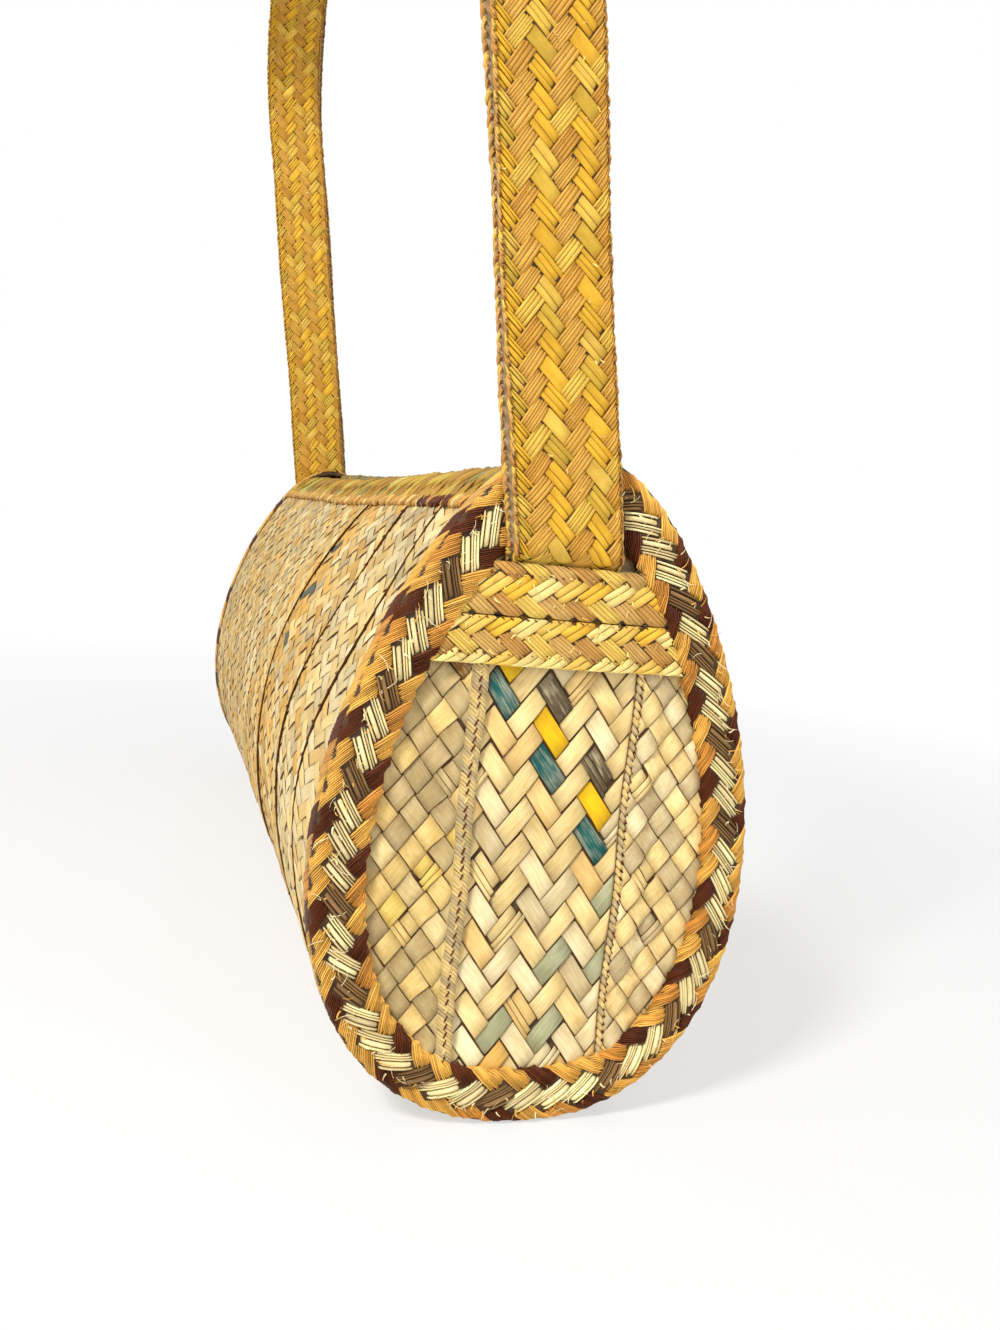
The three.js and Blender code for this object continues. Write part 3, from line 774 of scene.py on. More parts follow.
for name, edge, side in (("front", -front_lip_arc, -1), ("back", back_lip_arc, 1)):
    top = edge - side * 1.0 * mm
    low_skin, high_skin = wall_inner - lip_skin, wall_outer + lip_skin
    lip_length, lip_line = bent_path(
        [(edge + side * 8 * mm, wall_inner), (edge + side * 8 * mm, low_skin),
         (edge, low_skin), (top, low_skin + mm), (top, high_skin - mm), (edge, high_skin),
         (edge + side * 18.2 * mm, high_skin), (edge + side * 18.9 * mm, wall_outer)], side)

    def on_lip(p):
        distance, outward, n_distance, n_outward = lip_line(p[:, 0])
        x = p[:, 1] - lip_reach
        y, z = egg(wall_angle(distance + n_distance * p[:, 2]),
                   outward + n_outward * p[:, 2] + slump(x, distance))
        return np.stack([x, y, z], 1)

    rows = int(2 * lip_reach / (2 * lip_along)) + 3
    flat = plait(4, rows, 2 * lip_across, 2 * lip_along,
                 (lip_length - 6.8 * lip_across, -lip_along), lip_floats, looseness=0.05, seed=61)
    flat = trim(flat, (0, lip_length - 1.6 * mm), (0, 2 * lip_reach))
    pick = strand_chooser(lip_shades, (5, 2.5, 3, 1, 2), 2, 71)

    def lip_pick(column, row):
        mossy = name == "back" or (column == 1 and rows - row < 22)
        return moss_grey if mossy and row % 4 else pick(column, row)

    rope_rows = int(2 * lip_reach / rope_pitch)
    rope = plait(1, rope_rows, mm, rope_pitch, (lip_length - 2 * mm, 2 * mm), rope_floats,
                 looseness=0.1, seed=62)

    def rope_pick(column, row):
        from_end = rope_rows - row
        if name == "front" and (5 < from_end < 20) and from_end not in (9, 13, 14, 17):
            return dark_brown
        return (tan, brown_orange, ochre, pale_yellow)[row % 4]

    colour_floats(flat, lip_pick, variety=0.2, seed=6)
    colour_floats(rope, rope_pick, variety=0.3, seed=7)
    under = lining((0.3 * mm, lip_length - 0.3 * mm), (0, 2 * lip_reach), 0.5 * mm, (30, 60))
    lay(f"{name}_lip_plait", [(flat, on_lip, 0), (rope, on_lip, 0), (under, on_lip, 1)],
        (bundle_straw, lining_straw), "bag", [f"{name}_lip_braid"])


# End panels
# Each end is closed by three upright strips. The middle one is a two over two twill, with three
# dyed strands at the right end. The outer two are a coarser plain plait, lapped over it and sewn
# along their selvages. Their cut edges lie under the braid of the rim.
seam_front, seam_back, seam_lap = -20.4 * mm, 24.6 * mm, 7 * mm
apex_z = end_middle + end_height / 2
band_bottom_z, band_line_z, band_top_z = apex_z - 62 * mm, apex_z - 48 * mm, apex_z - 33 * mm
# Floats above the band, in the hollow by the strap's root, are darkened by this: painted shade.
painted_shade_above_band = (0.3, 0.22, 0.16, 1)
plain_across, plain_along = 4.45 * mm, 5.6 * mm
teal, dyed_grey = straw_colour(0, 98, 104, 0.5), straw_colour(100, 88, 66, 0.7)
dyed_yellow, pale_teal = straw_colour(252, 206, 8), straw_colour(178, 186, 156, 0.5)
dyed_strands = {(14, 0): teal, (15, 0): dyed_yellow, (16, 0): dyed_grey}
faded_floats = {(3, 2), (5, 4), (7, 6), (5, 2), (7, 4)}
mauve_grey, umber = straw_colour(204, 188, 154), straw_colour(140, 98, 30, 0.6)
lemon_cream = straw_colour(238, 216, 134)
side_shades = np.array((cream, greyed_cream, lemon_cream, mauve_grey, umber, pale_cream))
hem_shades = np.array((cream, greyed_cream, mauve_grey)) * (0.86, 0.83, 0.76, 1)
hem_pitch, stitch_pitch, stitch_lift = 2.4 * mm, 2.5 * mm, 0.4 * mm
panel_crown, rim_middle = 0.6 * mm, 9 * mm
panel_low, panel_high = -10 * mm, 220 * mm
bulge_height, bulge_across, bulge_up = 0.8 * mm, 34 * mm, 64 * mm
lap_lift, lap_ramp, lap_end = 2.1 * mm, 4 * mm, 11.5 * mm
edge_wander, edge_wave = 0.4 * mm, 9 * mm
panel_floats, plain_floats = [], {"front": [], "back": []}
for straws, uneven in ((1, 0), (3, 0.3)):
    looks = {"uneven": uneven, "groove": 0.7, "worn": 1.03, "seed": 3}
    panel_floats.append(twill_floats(f"panel_{straws}", panel_crown, (straws, straws),
                                     cant=(0.05, -0.03), **looks))
    for place, slope in (("front", -0.05), ("back", 0.05)):
        plain_floats[place].append(
            twill_floats(f"plain_{place}_{straws}", panel_crown, (straws, straws), plain_across,
                         plain_along, 1, 1.12, cant=(slope, -0.03), **looks))
hem_straw = float_shape("hem_float_0", (3.4 * mm, 2.6 * mm), (0, 1.2 * mm), 0.35 * mm, 2, worn=0.9)
slant_stitch = float_shape("stitch_float_2", (-0.45 * mm, 1.0 * mm), (0.3 * mm, 0.12 * mm),
                           0.35 * mm, profile="ridge")
hem_floats = {"front": (hem_straw, hem_straw),
              "back": twill_floats("cord", 0.7 * mm, (1, 1), 1.0 * mm, 1.3 * mm, profile="round")}
stitch_floats = {"front": (slant_stitch, slant_stitch),
                 "back": twill_floats("stitch", 0.3 * mm, (1, 1), 0.34 * mm, 0.42 * mm,
                                      cells=3.2, profile="ridge")}
whole_turn = np.linspace(0, 2 * np.pi, 721)
under_rim = np.stack(egg(whole_turn, rim_middle), 1)


def egg_range(y):
    """The lowest and highest point of the panel's outline at a distance Y from its middle."""
    half = under_rim[under_rim[:, 0] * (1 if y >= 0 else -1) >= 0]
    side = np.abs(half[:, 0])
    widest = half[np.argmax(side), 1]
    reach = min(side.max(), abs(y))
    ends = []
    for part in (half[:, 1] <= widest, half[:, 1] > widest):
        order = np.argsort(side[part])
        ends.append(np.interp(reach, side[part][order], half[part, 1][order]))
    return ends


def in_egg(points, outward):
    """Which points, given as Y and Z, lie inside the egg outline moved outwards."""
    ring = np.stack(egg(whole_turn, outward), 1)
    centre = ring.mean(0)
    angle = np.arctan2(*(ring - centre).T)
    order = np.argsort(angle)
    reach = np.interp(np.arctan2(*(points - centre).T), angle[order],
                      np.linalg.norm(ring - centre, axis=1)[order], period=2 * np.pi)
    return np.linalg.norm(points - centre, axis=1) < reach


def keep_in_egg(flat, points, outward):
    inside = in_egg(points, outward)
    return keep_faces(flat, inside[flat["quads"]].all(1))


def egg_lining(y_range):
    """The closed sheet under one upright strip of the panel, cut to the egg outline."""
    flat = lining(y_range, (0, 1), sheet_thickness - panel_crown, (14, 24))
    flat["co"][flat["co"][:, 2] == 0, 2] = -0.25 * mm
    ranges = np.array([egg_range(y) for y in flat["co"][:, 0]])
    flat["co"][:, 1] = ranges[:, 0] + (ranges[:, 1] - ranges[:, 0]) * flat["co"][:, 1]
    flat["along"] = flat["co"][:, 1] / lining_cell
    return flat


def is_split(column, row):
    """Whether a float of a panel is made of three narrow straws and not of a broad one."""
    return (row * 7 + column * 3) % 11 == 0


for end, mirror in (("right", 1), ("left", -1)):
    is_right = end == "right"

    def on_middle(p):
        bulge = bulge_height * np.cos(p[:, 0] / bulge_across) * np.sin(p[:, 1] / bulge_up)
        x = panel_front - panel_crown + p[:, 2] + bulge
        return np.stack([mirror * x, p[:, 0], p[:, 1]], 1)

    pick = strand_chooser((cream, warm_cream, pale_cream, greyed_cream), (6, 3, 3, 1), 2, 91,
                          dyed_strands if is_right else ())

    def middle_pick(column, row):
        if is_right and (column, row) in faded_floats:
            return pale_teal
        return golden if is_right and (column, row) == (3, 1) else pick(column, row)

    parts = []
    middle_range = (seam_front - seam_lap, seam_back + seam_lap)
    for flat in mixed_plait(panel_floats, is_split, 11, 22, 2 * twill_across, 2 * twill_along,
                            (-31.24 * mm, 1.8 * mm), looseness=0.025, seed=81, tilt=0.05):
        flat = trim(flat, middle_range, (panel_low, panel_high))
        flat = keep_in_egg(flat, flat["co"][:, :2], rim_middle)
        colour_floats(flat, middle_pick, seed=7)
        # Painted shade on the floats above the band.
        flat["colour"][flat["co"][:, 1] > band_top_z] *= painted_shade_above_band
        parts.append((flat, on_middle, 0))
    lay(f"{end}_end_middle_plait", [*parts, (egg_lining(middle_range), on_middle, 1)],
        (flat_straw, lining_straw), "bag", [f"{end}_end_strip_middle"])
    for place, seam, side in (("front", seam_front, -1), ("back", seam_back, 1)):
        is_front = place == "front"

        def on_side(p):
            lifted = lap_lift * smooth_step((lap_end - p[:, 0]) / lap_ramp)
            x = panel_front - panel_crown + p[:, 2] + lifted
            wave = edge_wander * np.sin(p[:, 1] / edge_wave)
            return np.stack([mirror * x, seam + side * p[:, 0] + wave, p[:, 1]], 1)

        def under_the_rim(flat):
            placed = np.stack([seam + side * flat["co"][:, 0], flat["co"][:, 1]], 1)
            return keep_in_egg(flat, placed, rim_middle)

        selvage = 4.8 * mm if is_front else 2.0 * mm
        shares = (4, 3, 1.5, 3, 1.5, 1.5) if is_front else (7, 2, 1, 1, 0.1, 3)
        tint = (0.9, 0.85, 0.7, 1) if is_front else (1, 0.98, 0.94, 1)
        pick = strand_chooser(side_shades * tint, shares, 1, 95 + side)
        parts = []
        for flat in mixed_plait(plain_floats[place], is_split, 12, 22, plain_across,
                                2 * plain_along, (selvage - 0.3 * plain_across, -2 * mm),
                                looseness=0.035, seed=83, tilt=0.06):
            flat = under_the_rim(trim(flat, (selvage, 60 * mm), (panel_low, panel_high)))
            colour_floats(flat, pick, variety=0.2, seed=8)
            # Painted shade on the floats above the band.
            flat["colour"][flat["co"][:, 1] > band_top_z] *= painted_shade_above_band
            parts.append((flat, on_side, 0))
        hem = plait(1, int(panel_high / hem_pitch), 5 * mm, hem_pitch, (selvage / 2, -2 * mm),
                    hem_floats[place], looseness=0.05, seed=84)
        hem = under_the_rim(trim(hem, (0, selvage + 0.4 * mm), (panel_low, panel_high), 0.3 * mm))
        colour_floats(hem, strand_chooser(hem_shades, (3, 2, 1), 1, 97), variety=0.2, seed=9)
        stitch_line = selvage * 0.5 if is_front else selvage - 0.2 * mm
        stitches = plait(1, 90, mm, stitch_pitch, (stitch_line, -2 * mm), stitch_floats[place],
                         looseness=0.06, seed=85, tilt=0)
        stitches["co"][:, 2] += stitch_lift
        stitches = under_the_rim(stitches)
        colour_floats(stitches, lambda c, r: dark_brown if r % 5 else warm_cream, variety=0.4,
                      seed=10)
        far = side * (end_width / 2 - 9.5 * mm)
        under = egg_lining(sorted((seam, far)))
        under["co"][:, 0] = side * (under["co"][:, 0] - seam)
        lay(f"{end}_end_{place}_plait",
            [*parts, (hem, on_side, 0), (stitches, on_side, 2), (under, on_side, 1)],
            (flat_straw, lining_straw, bundle_straw), "bag",
            [f"{end}_end_strip_{place}"])


# Rims
# Where wall and panel meet, both are sewn into a braid of straw bundles folded over the corner:
# a broad three-column braid on the face of the end and a narrow one on the wall beside it.
# Ochre and dark brown bundles edge it, and cream and grey ones cross its middle.
bundle_cream, bundle_grey = straw_colour(254, 240, 190), straw_colour(140, 110, 72)
rim_ochre, rim_orange = straw_colour(242, 192, 96), straw_colour(224, 164, 78)
rim_column, rim_across, rim_along_wanted = 7.5 * mm, 3.5 * mm, 4.46 * mm
rim_crown, rim_lining = 1.1 * mm, 0.8 * mm
rim_angle, rim_round = walk_round(rim_middle)
rim_rows = round(rim_round / (2 * rim_along_wanted))
dark_rows = ({0, 3, 6, 9, 12, 16, 19, 22, 26, 29, 32, 36, 39, 42, 46, 50},
             {1, 5, 7, 10, 13, 17, 20, 23, 27, 30, 34, 37, 41, 44, 48, 51},
             {0, 4, 6, 10, 13, 17, 20, 24, 27, 31, 34, 37, 40, 43, 47, 50})
rim_along = rim_round / rim_rows / 2
rim_floats = twill_floats("rim", rim_crown, (10, 5), rim_across, rim_along,
                          rim_column / rim_across, profile="round", uneven=[0.1, 0.3],
                          groove=[0.1, -0.3], gap=[0.08, 0.24], worn=[1.14, 1.05], seed=12)
corner_float = float_shape("corner_float_0", (4.9 * mm, -2.6 * mm), (0, rim_along),
                           0.9 * mm, 12, profile="round", uneven=0.1, groove=0.1, gap=0.08,
                           worn=1.14, seed=13)
face_length, face_line = bent_path(
    [(0.8 * mm, rim_back), (0.8 * mm, rim_front - 2 * mm), (2.4 * mm, rim_front - 1.2 * mm),
     (14.6 * mm, rim_front - 1.2 * mm), (17.0 * mm, rim_front - 2.2 * mm),
     (17.0 * mm, panel_front)])
side_length, side_line = bent_path(
    [(17.1 * mm, panel_front), (17.0 * mm, panel_front - 9 * mm),
     (16.4 * mm, panel_front - 10.4 * mm), (wall_outer, panel_front - 10.6 * mm)])
foot_top, foot_flatness = mm, 0.6
over_band, band_fade, overlap_width, overlap_fade = 1.3 * mm, 4 * mm, 7 * mm, 5 * mm
corner_start, corner_ramp, corner_press = 15 * mm, 2.5 * mm, 0.6
inner_shift, outer_back, outer_front = 1.2 * mm, 1.3 * mm, 2.2 * mm
stray_rise, stray_steps = 0.8 * mm, 6


def face_pick(column, row):
    if row in dark_rows[column]:
        return bundle_grey if column == 1 else dark_brown
    if column == 1:
        return bundle_cream * (0.93, 1, 0.97)[row % 3]
    return (rim_ochre, rim_orange, rim_ochre)[(row * 5 + column) % 3]


def corner_pick(column, row):
    if row in dark_rows[2]:
        return dark_brown
    return (rim_ochre, tan, rim_orange, rim_ochre)[row * 7 % 4]


def stray_shape(name, length, width):
    """A loose end of straw that stands up from the plait in a curve."""
    t = np.linspace(0, 1, stray_steps)
    taper = width * (1 - 0.6 * t)
    co = []
    for j in range(stray_steps):
        bend = 0.18 * length * np.sin(2.6 * t[j])
        for s, up in ((-1, 0), (0, 0.5), (1, 0)):
            height = stray_rise * t[j] ** 1.6 + up * taper[j]
            co.append((length * t[j], bend + s * taper[j], height))
    return add_mesh(name, co, grid_quads(stray_steps, 3), along=np.repeat(t, 3) - 0.5,
                    across=np.tile((-0.6, 0, 0.6), stray_steps), straw=np.zeros(3 * stray_steps))


def strays(count, x_range, y_range, lift, shapes, colours, seed):
    """Loose ends of straw, strewn over a strip and turned every way."""
    pitch = (y_range[1] - y_range[0]) / count * 2
    flat = plait(2, count // 2, 0.0, pitch, (0.0, y_range[0]), shapes, looseness=0.4, seed=seed,
                 turn=3.1, tilt=0.1)
    shift = np.random.default_rng(seed).uniform(size=(2, draws))
    lots = ((flat["column"] * 1999 + flat["row"] * 7) % draws).astype(int)
    flat["co"][:, 0] += x_range[0] + (x_range[1] - x_range[0]) * shift[0, lots]
    flat["co"][:, 1] += pitch * shift[1, lots]
    flat["co"][:, 2] += lift
    return colour_floats(flat, lambda column, row: colours[row % len(colours)], variety=0.3,
                         seed=seed)


short_stray = stray_shape("stray_float_0", 1.5 * mm, 0.26 * mm)
long_stray = stray_shape("stray_float_1", 4.2 * mm, 0.13 * mm)


def squeeze(angle, outward):
    """How the braid's edges differ from an even ring: at mid height it is narrower outside, and
    it lies more over the front strip of the panel than over the back one."""
    back, front = np.maximum(np.sin(angle), 0), np.maximum(-np.sin(angle), 0)
    share = np.clip(outward / rim_face_width, 0, 1)
    inner = inner_shift * (back**2 - front**2)
    outer = -outer_back * back**2 - outer_front * smooth_step(1.4 * front)
    return inner * (1 - share) + outer * share


for end, mirror in (("right", 1), ("left", -1)):

    def on_rim(p, line):
        """The rim stands a little further out over the band's ends and is flat where it stands
        on the ground."""
        outward, x, n_outward, n_x = line(p[:, 0])
        angle = rim_angle(p[:, 1])
        outward = outward + squeeze(angle, outward)
        y, z = egg(angle, outward + n_outward * p[:, 2])
        by_band = smooth_step((z - band_bottom_z) / band_fade + 0.5)
        by_band = by_band * smooth_step((band_top_z - z) / band_fade + 0.5)
        x = x + over_band * by_band * smooth_step((overlap_width - outward) / overlap_fade)
        z = np.where(z < foot_top, foot_top + (z - foot_top) * foot_flatness, z)
        return np.stack([mirror * (x + n_x * p[:, 2]), y, np.maximum(z, 0)], 1)

    def on_face(p):
        by_corner = smooth_step((p[:, 0] - corner_start) / corner_ramp)
        height = p[:, 2] * (1 - corner_press * by_corner)
        return on_rim(np.column_stack([p[:, :2], height]), face_line)

    def on_corner(p):
        return on_rim(p * np.array([1, 1, 0.5]), side_line)

    faces = []
    for swing, middle in ((0.04, False), (0.16, True)):
        flat = plait(3, rim_rows, rim_column, 2 * rim_along, (2.2 * mm, 1.2 * mm), rim_floats,
                     looseness=0.03, seed=21, turn=swing)
        flat = keep_floats(flat, lambda column, row: (column == 1) == middle)
        flat = trim(flat, (0, face_length), (-rim_round, 2 * rim_round), 0.4 * mm)
        faces.append((colour_floats(flat, face_pick, variety=0.6, seed=22), on_face, 0))
    loose = strays(260, (face_length * 0.5, face_length * 0.75), (0, rim_round), rim_crown * 0.8,
                   (short_stray, long_stray), (bundle_cream, rim_ochre, pale_cream), 25)
    under = lining((0.2 * mm, face_length - 0.2 * mm), (0, rim_round), rim_lining, (24, 144))
    lay(f"{end}_rim_face_plait", [*faces, (loose, on_face, 0), (under, on_face, 1)],
        (bundle_straw, lining_straw), "bag", [f"{end}_rim_face_braid"])
    flat = plait(1, rim_rows, mm, 2 * rim_along, (4.7 * mm, 0), (corner_float, corner_float),
                 looseness=0.05, seed=23)
    flat = trim(flat, (0, side_length), (-rim_round, 2 * rim_round), 0.5 * mm)
    colour_floats(flat, corner_pick, variety=0.6, seed=24)
    under = lining((0.2 * mm, side_length - 0.2 * mm), (0, rim_round), rim_lining, (16, 144))
    lay(f"{end}_rim_wall_plait", [(flat, on_corner, 0), (under, on_corner, 1)],
        (bundle_straw, lining_straw), "bag", [f"{end}_rim_wall_braid"])


# Strap
# One long ribbon of yellow and tan straw, doubled: two plaited layers sewn together along
# their edges. Each end lies on the panel behind the band, steps out over the rim and leans a
# little to the front all the way up to the arch.
strap_width, ribbon_gap, ribbon_crown = 31 * mm, 0.3 * mm, 0.6 * mm
strap_half, ribbon_shift, lean_reach = 1.55 * mm, 1.6 * mm, 20 * mm
strap_wander, wander_wave = 0.35 * mm, 19 * mm
strap_y, strap_lean = 1 * mm, np.radians(8.8)
leg_length, crown_rise, squareness = 195 * mm, 103.45 * mm, 2.3
root_x = panel_front + clearance + strap_half
strap_x = rim_front + clearance + strap_half
bend_z = apex_z + 3 * mm
step_start_z, step_end_z = 167.85 * mm, 169.75 * mm
arch = []
for angle in np.linspace(0, np.pi, 97)[1:-1]:
    c, s = np.cos(angle), np.sin(angle)
    arch.append((np.sign(c) * abs(c) ** (2 / squareness) * strap_x,
                 bend_z + leg_length + s ** (2 / squareness) * crown_rise))
right_side = [(root_x, band_bottom_z + 3 * mm), (root_x, step_start_z - 2 * mm),
              (root_x, step_start_z), (strap_x, step_end_z), (strap_x, step_end_z + 2 * mm),
              (strap_x, bend_z - 4 * mm), (strap_x, bend_z + leg_length)]
strap_corners = right_side + arch + [(-x, z) for x, z in reversed(right_side)]
strap_length, _ = bent_path(strap_corners)
strap_across, strap_along = 2.95 * mm, 3.48 * mm
strap_floats = [twill_floats(f"strap_{n}", ribbon_crown, (n, n + 3), strap_across, strap_along,
                             uneven=0.14, groove=0.66, seed=17 + n) for n in (1, 2, 3)]
edge_floats = twill_floats("edge", ribbon_crown, (4, 5), strap_across, strap_along,
                           uneven=0.2, groove=[0.1, 0.5], gap=[0.12, 0.04], seed=19)
cord_floats = twill_floats("cord_edge", 0.5 * mm, (2, 2), 1.0 * mm, 1.5 * mm, groove=0.3)
cord_pitch = 2.9 * mm
strap_shade = (0.88, 0.86, 0.64, 1)
strap_tans = strap_shade * np.array((straw_colour(232, 182, 92), straw_colour(220, 166, 76),
                                     straw_yellow))
strap_yellows = strap_shade * np.array((bright_yellow, straw_yellow, straw_colour(222, 186, 78)))


def strap_middle(z):
    """Y of the strap's middle line at a height below the lower bend."""
    return strap_y - np.tan(strap_lean) * (z - band_line_z)


def strap_pick(column, row):
    number, lean = strand_number(column, row, 2)
    mix = (number * 7 + number // 5) % 9
    return (strap_tans if lean else strap_yellows)[(0, 0, 1, 0, 0, 1, 0, 2, 0)[mix]]


def strap_make(column, row):
    """Which set of floats one is of: of one to three straws, or of an edge's fine ones."""
    strand, _ = strand_number(column, row, 2)
    return 3 if column in (0, 5) else (0, 1, 2, 1, 0, 1, 2)[strand * 5 % 7]


root_to_bend = bend_z - band_bottom_z
right_cut = root_to_bend + leg_length / 2
left_cut = strap_length - root_to_bend - leg_length
for layer, side in (("outer", -1), ("inner", 1)):
    _, strap_line = bent_path(strap_corners, side)

    def on_strap(p):
        x, z, nx, nz = strap_line(p[:, 1])
        lift = strap_half - ribbon_crown + p[:, 2]
        x, z = x + nx * lift, z + nz * lift
        wander = strap_wander * np.sin(p[:, 1] / wander_wave + side)
        across = p[:, 0] - strap_width / 2 + wander - (ribbon_shift if side > 0 else 0)
        square = smooth_step((z - step_end_z - 3 * mm) / lean_reach)
        slant = across * (square * np.cos(strap_lean) + (1 - square) / np.cos(strap_lean))
        above = np.maximum(z - bend_z, 0)
        y = strap_middle(np.minimum(z, bend_z)) - above * np.sin(strap_lean) + slant
        z = z - above * (1 - np.cos(strap_lean)) + across * np.sin(strap_lean) * square
        return np.stack([x, y, z], 1)

    whole = []
    for flat in mixed_plait((*strap_floats, edge_floats), strap_make, 6,
                            int(strap_length / (2 * strap_along)) + 2, 2 * strap_across,
                            2 * strap_along, (1.15 * mm, -strap_along), looseness=0.035, seed=41):
        flat = trim(flat, (0, strap_width), (0, strap_length), 0.7 * mm)
        whole.append((colour_floats(flat, strap_pick, variety=0.22, seed=42), on_strap, 0))
    loose = strays(260, (0.02 * strap_width, 0.99 * strap_width), (0, strap_length),
                   ribbon_crown * 0.8, (short_stray, short_stray),
                   (pale_yellow, tan, straw_yellow), 45)
    under = lining((0.3 * mm, strap_width - 0.3 * mm), (0, strap_length),
                   strap_half - ribbon_gap / 2 - ribbon_crown, (4, 460))
    whole += [(loose, on_strap, 0), (under, on_strap, 1)]
    for place, out in ((0, -1), (strap_width, 1)):

        def on_edge(p, place=place, out=out):
            return on_strap(np.stack([place + out * (p[:, 2] - 0.2 * mm), p[:, 1],
                                      p[:, 0] - 0.1 * mm], 1))

        cord = plait(1, int(strap_length / cord_pitch), mm, cord_pitch, (0, 0), cord_floats,
                     looseness=0.1, seed=44)
        colour_floats(cord, lambda c, r: (tan, straw_yellow, brown_orange)[r % 3], variety=0.3,
                      seed=45)
        whole.append((cord, on_edge, 0))
    for name, start, stop, nodes in (
            ("right_lower", -1, right_cut, ("right_strap_root", "right_strap_leg")),
            ("arch", right_cut, left_cut, ("right_strap_leg", "strap_crown")),
            ("left_lower", left_cut, strap_length + 1, ("left_strap_root", "left_strap_leg"))):
        cut = []
        for part, surface, number in whole:
            centre = part["co"][:, 1][part["quads"]].mean(1)
            cut.append((keep_faces(part, (centre > start) & (centre <= stop)), surface, number))
        piece = lay(f"strap_{name}_{layer}", cut, (bundle_straw, lining_straw), None,
                    [f"{node}_{layer}" for node in nodes])
        if name == "arch":
            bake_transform(piece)
        else:
            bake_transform(piece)


# Band
# Two narrow ribbons of the same plait are sewn across each end, one above the other, over the
# strap's root. They hump where they cross the strap and run out against the rim.
band_thickness, band_crown, band_reach = 1.5 * mm, 0.6 * mm, 70 * mm
band_crest = root_x + strap_half + clearance
band_side = panel_front + 2 * clearance + sheet_thickness
band_across, band_along = 2.8 * mm, 3.7 * mm
hem_fold, rim_inside, hump_ramp, hole_pitch = 3.2 * mm, 4 * mm, 5 * mm, 2.3 * mm
green_cream = straw_colour(232, 214, 142)
band_looks = {"uneven": 0.14, "groove": 0.6}
lean_across, lean_along = band_across * tuck_under, band_along * tuck_under
band_floats = {
    "upper": twill_floats("band_upper", band_crown, (4, 2), band_across, band_along, seed=18,
                          **band_looks),
    "lower": (float_shape("band_lower_float_0", (lean_across, lean_along),
                          (-band_across / 2, band_along / 2), band_crown, 2),
              float_shape("band_lower_float_1", (lean_across, -lean_along),
                          (band_across / 2, band_along / 2), band_crown, 5, seed=20,
                          **band_looks)),
}
hole_floats = twill_floats("hole", 0.35 * mm, (1, 1), 0.28 * mm, 0.4 * mm, profile="ridge")
rim_line = np.stack(egg(whole_turn, rim_inside), 1)
rim_line = rim_line[rim_line[:, 1] > end_middle]


def band_end(side, z):
    """Y of a band's end, where it runs out under the rim."""
    part = rim_line[rim_line[:, 0] * side > 0]
    part = part[np.argsort(part[:, 1])]
    return np.interp(z, part[:, 1], part[:, 0])


for end, mirror in (("right", 1), ("left", -1)):
    for place, low, high in (("lower", band_bottom_z, band_line_z - clearance),
                             ("upper", band_line_z, band_top_z)):
        is_lower = place == "lower"
        crossing = strap_middle((low + high) / 2)
        half = strap_width / 2 / np.cos(strap_lean) + np.tan(strap_lean) * (high - low) / 2

        def on_band(p):
            over = smooth_step((half + hump_ramp - np.abs(p[:, 1] - crossing)) / hump_ramp)
            base = band_side + (band_crest - band_side) * over
            x = base + band_thickness - band_crown + p[:, 2]
            return np.stack([mirror * x, p[:, 1], p[:, 0]], 1)

        def band_pick(column, row):
            mix = (row * 5 + row // 3) % 4
            if is_lower and column == 0:
                return (pale_yellow, straw_yellow, pale_yellow, bright_yellow)[mix]
            if (column == 1) != is_lower:
                return (straw_yellow, bright_yellow, pale_yellow, green_cream)[mix]
            return (tan, brown_orange, straw_yellow, tan)[mix] * (0.92, 0.97, 1.02, 1)

        first = low + (hem_fold - band_across if is_lower else band_across - 0.2 * mm)
        flat = plait(3, 20, 2 * band_across, 2 * band_along, (first, -band_reach),
                     band_floats[place], looseness=0.045, seed=51 + is_lower)
        flat = trim(flat, (low, high), (-band_reach, band_reach), 0.5 * mm)
        for outward in (0.4 * mm, 1.4 * mm, 2.4 * mm):
            flat["co"][:, 2] -= 0.3 * mm * ~in_egg(flat["co"][:, 1::-1], outward)
        flat = keep_in_egg(flat, flat["co"][:, 1::-1], rim_inside)
        parts = [(colour_floats(flat, band_pick, variety=0.2, seed=52), on_band, 0)]
        for line in ((high - 0.5 * mm, low + hem_fold) if is_lower else (high - 3.4 * mm,)):
            holes = plait(1, 60, mm, hole_pitch, (line, -62 * mm), hole_floats, looseness=0.3,
                          seed=53)
            holes["co"][:, 2] += stitch_lift
            holes = keep_in_egg(holes, holes["co"][:, 1::-1], 0)
            colour_floats(holes, lambda c, r: pale_yellow if r % 3 == 0 else dark_brown * 1.4,
                          variety=0.3, seed=54)
            parts.append((holes, on_band, 0))
        loose = strays(40, (low + mm, high - 2 * mm), (-40 * mm, 40 * mm), band_crown * 0.8,
                       (short_stray, short_stray), (pale_yellow, straw_yellow), 55)
        parts.append((keep_in_egg(loose, loose["co"][:, 1::-1], -2 * mm), on_band, 0))
        under = lining((low + 0.2 * mm, high - 0.2 * mm), (-1, 1), 0.7 * mm, (3, 60))
        share = (under["co"][:, 1] + 1) / 2
        ends = [band_end(side, under["co"][:, 0]) for side in (-1, 1)]
        under["co"][:, 1] = ends[0] * (1 - share) + ends[1] * share
        lay(f"{end}_band_{place}_plait", [*parts, (under, on_band, 1)],
            (bundle_straw, lining_straw), "bag", [f"{end}_band_{place}"])


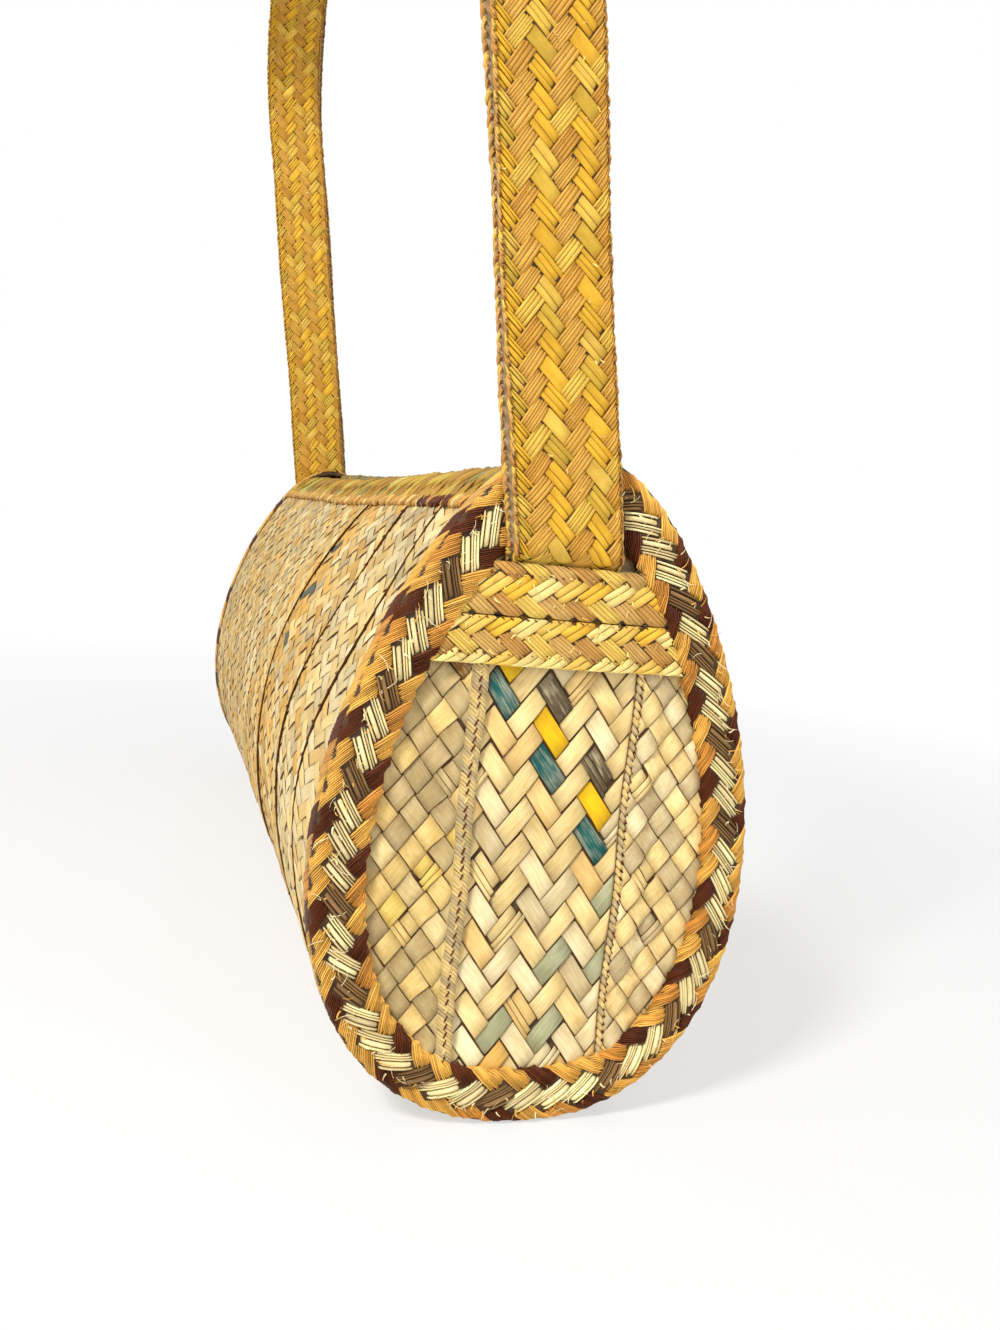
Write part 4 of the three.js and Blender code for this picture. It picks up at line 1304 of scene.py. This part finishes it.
# Studio
# A pale floor under the bag, soft light from all round with one soft lamp on the upper left
# and a weak one on the right, and a camera at the photograph's height and angle.
pixels_high, focal_pixels, sensor = 1330, 1201, 36
camera_place = (0.5568, -0.1154, 0.1765)
view_rows = Matrix(((0.2798, 0.9550, 0.0988), (0.1397, 0.0613, -0.9883),
                    (-0.9498, 0.2903, -0.1163)))
camera_data = bpy.data.cameras.new("camera")
camera_data.sensor_width = sensor
camera_data.lens = sensor * focal_pixels / pixels_high
camera_data.clip_start = 0.01
camera = add_object("camera", camera_data)
turned = view_rows.transposed() @ Matrix.Diagonal((1, -1, -1))
camera.matrix_world = Matrix.Translation(camera_place) @ turned.to_4x4()
bpy.context.scene.camera = camera

reach = 6.0
floor = add_mesh("floor", [(-reach, -reach, 0), (reach, -reach, 0), (reach, reach, 0),
                           (-reach, reach, 0)], [(0, 1, 2, 3)])
floor_paint, tree, paint = new_material("floor_paint")
feed(tree, paint, {"Base Color": (0.9, 0.9, 0.9, 1), "Roughness": 0.9})
place = tree.nodes.new("ShaderNodeTexCoord").outputs["Object"]
away = add_node(tree, "ShaderNodeVectorMath", {0: place}, operation="LENGTH").outputs["Value"]
seen = tree.nodes.new("ShaderNodeLightPath").outputs["Is Camera Ray"]
white = add_node(tree, "ShaderNodeEmission", {"Color": (1, 1, 1, 1), "Strength": 1.0})
mixed = add_node(tree, "ShaderNodeMixShader",
                 {0: reckon(tree, "MULTIPLY", remap(tree, away, 0.25, 0.9, 0.6, 1.0), seen),
                  1: paint.outputs[0], 2: white.outputs[0]})
feed(tree, tree.nodes["Material Output"], {"Surface": mixed.outputs[0]})
floor.data.materials.append(floor_paint)

world = bpy.data.worlds.new("studio")
bpy.context.scene.world = world
world.use_nodes = True
tree = world.node_tree
rays = tree.nodes.new("ShaderNodeLightPath").outputs
direct = reckon(tree, "MAXIMUM", rays["Is Camera Ray"], rays["Is Glossy Ray"])
direct = reckon(tree, "MAXIMUM", direct, rays["Is Transmission Ray"])
room_light = 0.42
feed(tree, tree.nodes["Background"],
     {"Color": (1, 1, 1, 1),
      "Strength": reckon(tree, "MULTIPLY_ADD", direct, 1 - room_light, room_light)})


def add_lamp(name, place, target, size, power):
    data = bpy.data.lights.new(name, "AREA")
    data.size = size
    data.energy = power
    lamp = add_object(name, data)
    lamp.location = place
    direction = Matrix.Translation(target).translation - lamp.location
    lamp.rotation_euler = direction.to_track_quat("-Z", "Y").to_euler()


add_lamp("key", place=(1.0, -1.0, 1.35), target=(0, 0, 0.12), size=0.3, power=27)
add_lamp("side", place=(1.4, 0.6, 0.7), target=(0.2, 0, 0.12), size=0.7, power=5)

bpy.context.scene.view_settings.view_transform = "Standard"

for shape in [o for o in bpy.data.objects if "_float_" in o.name]:
    bpy.data.objects.remove(shape)
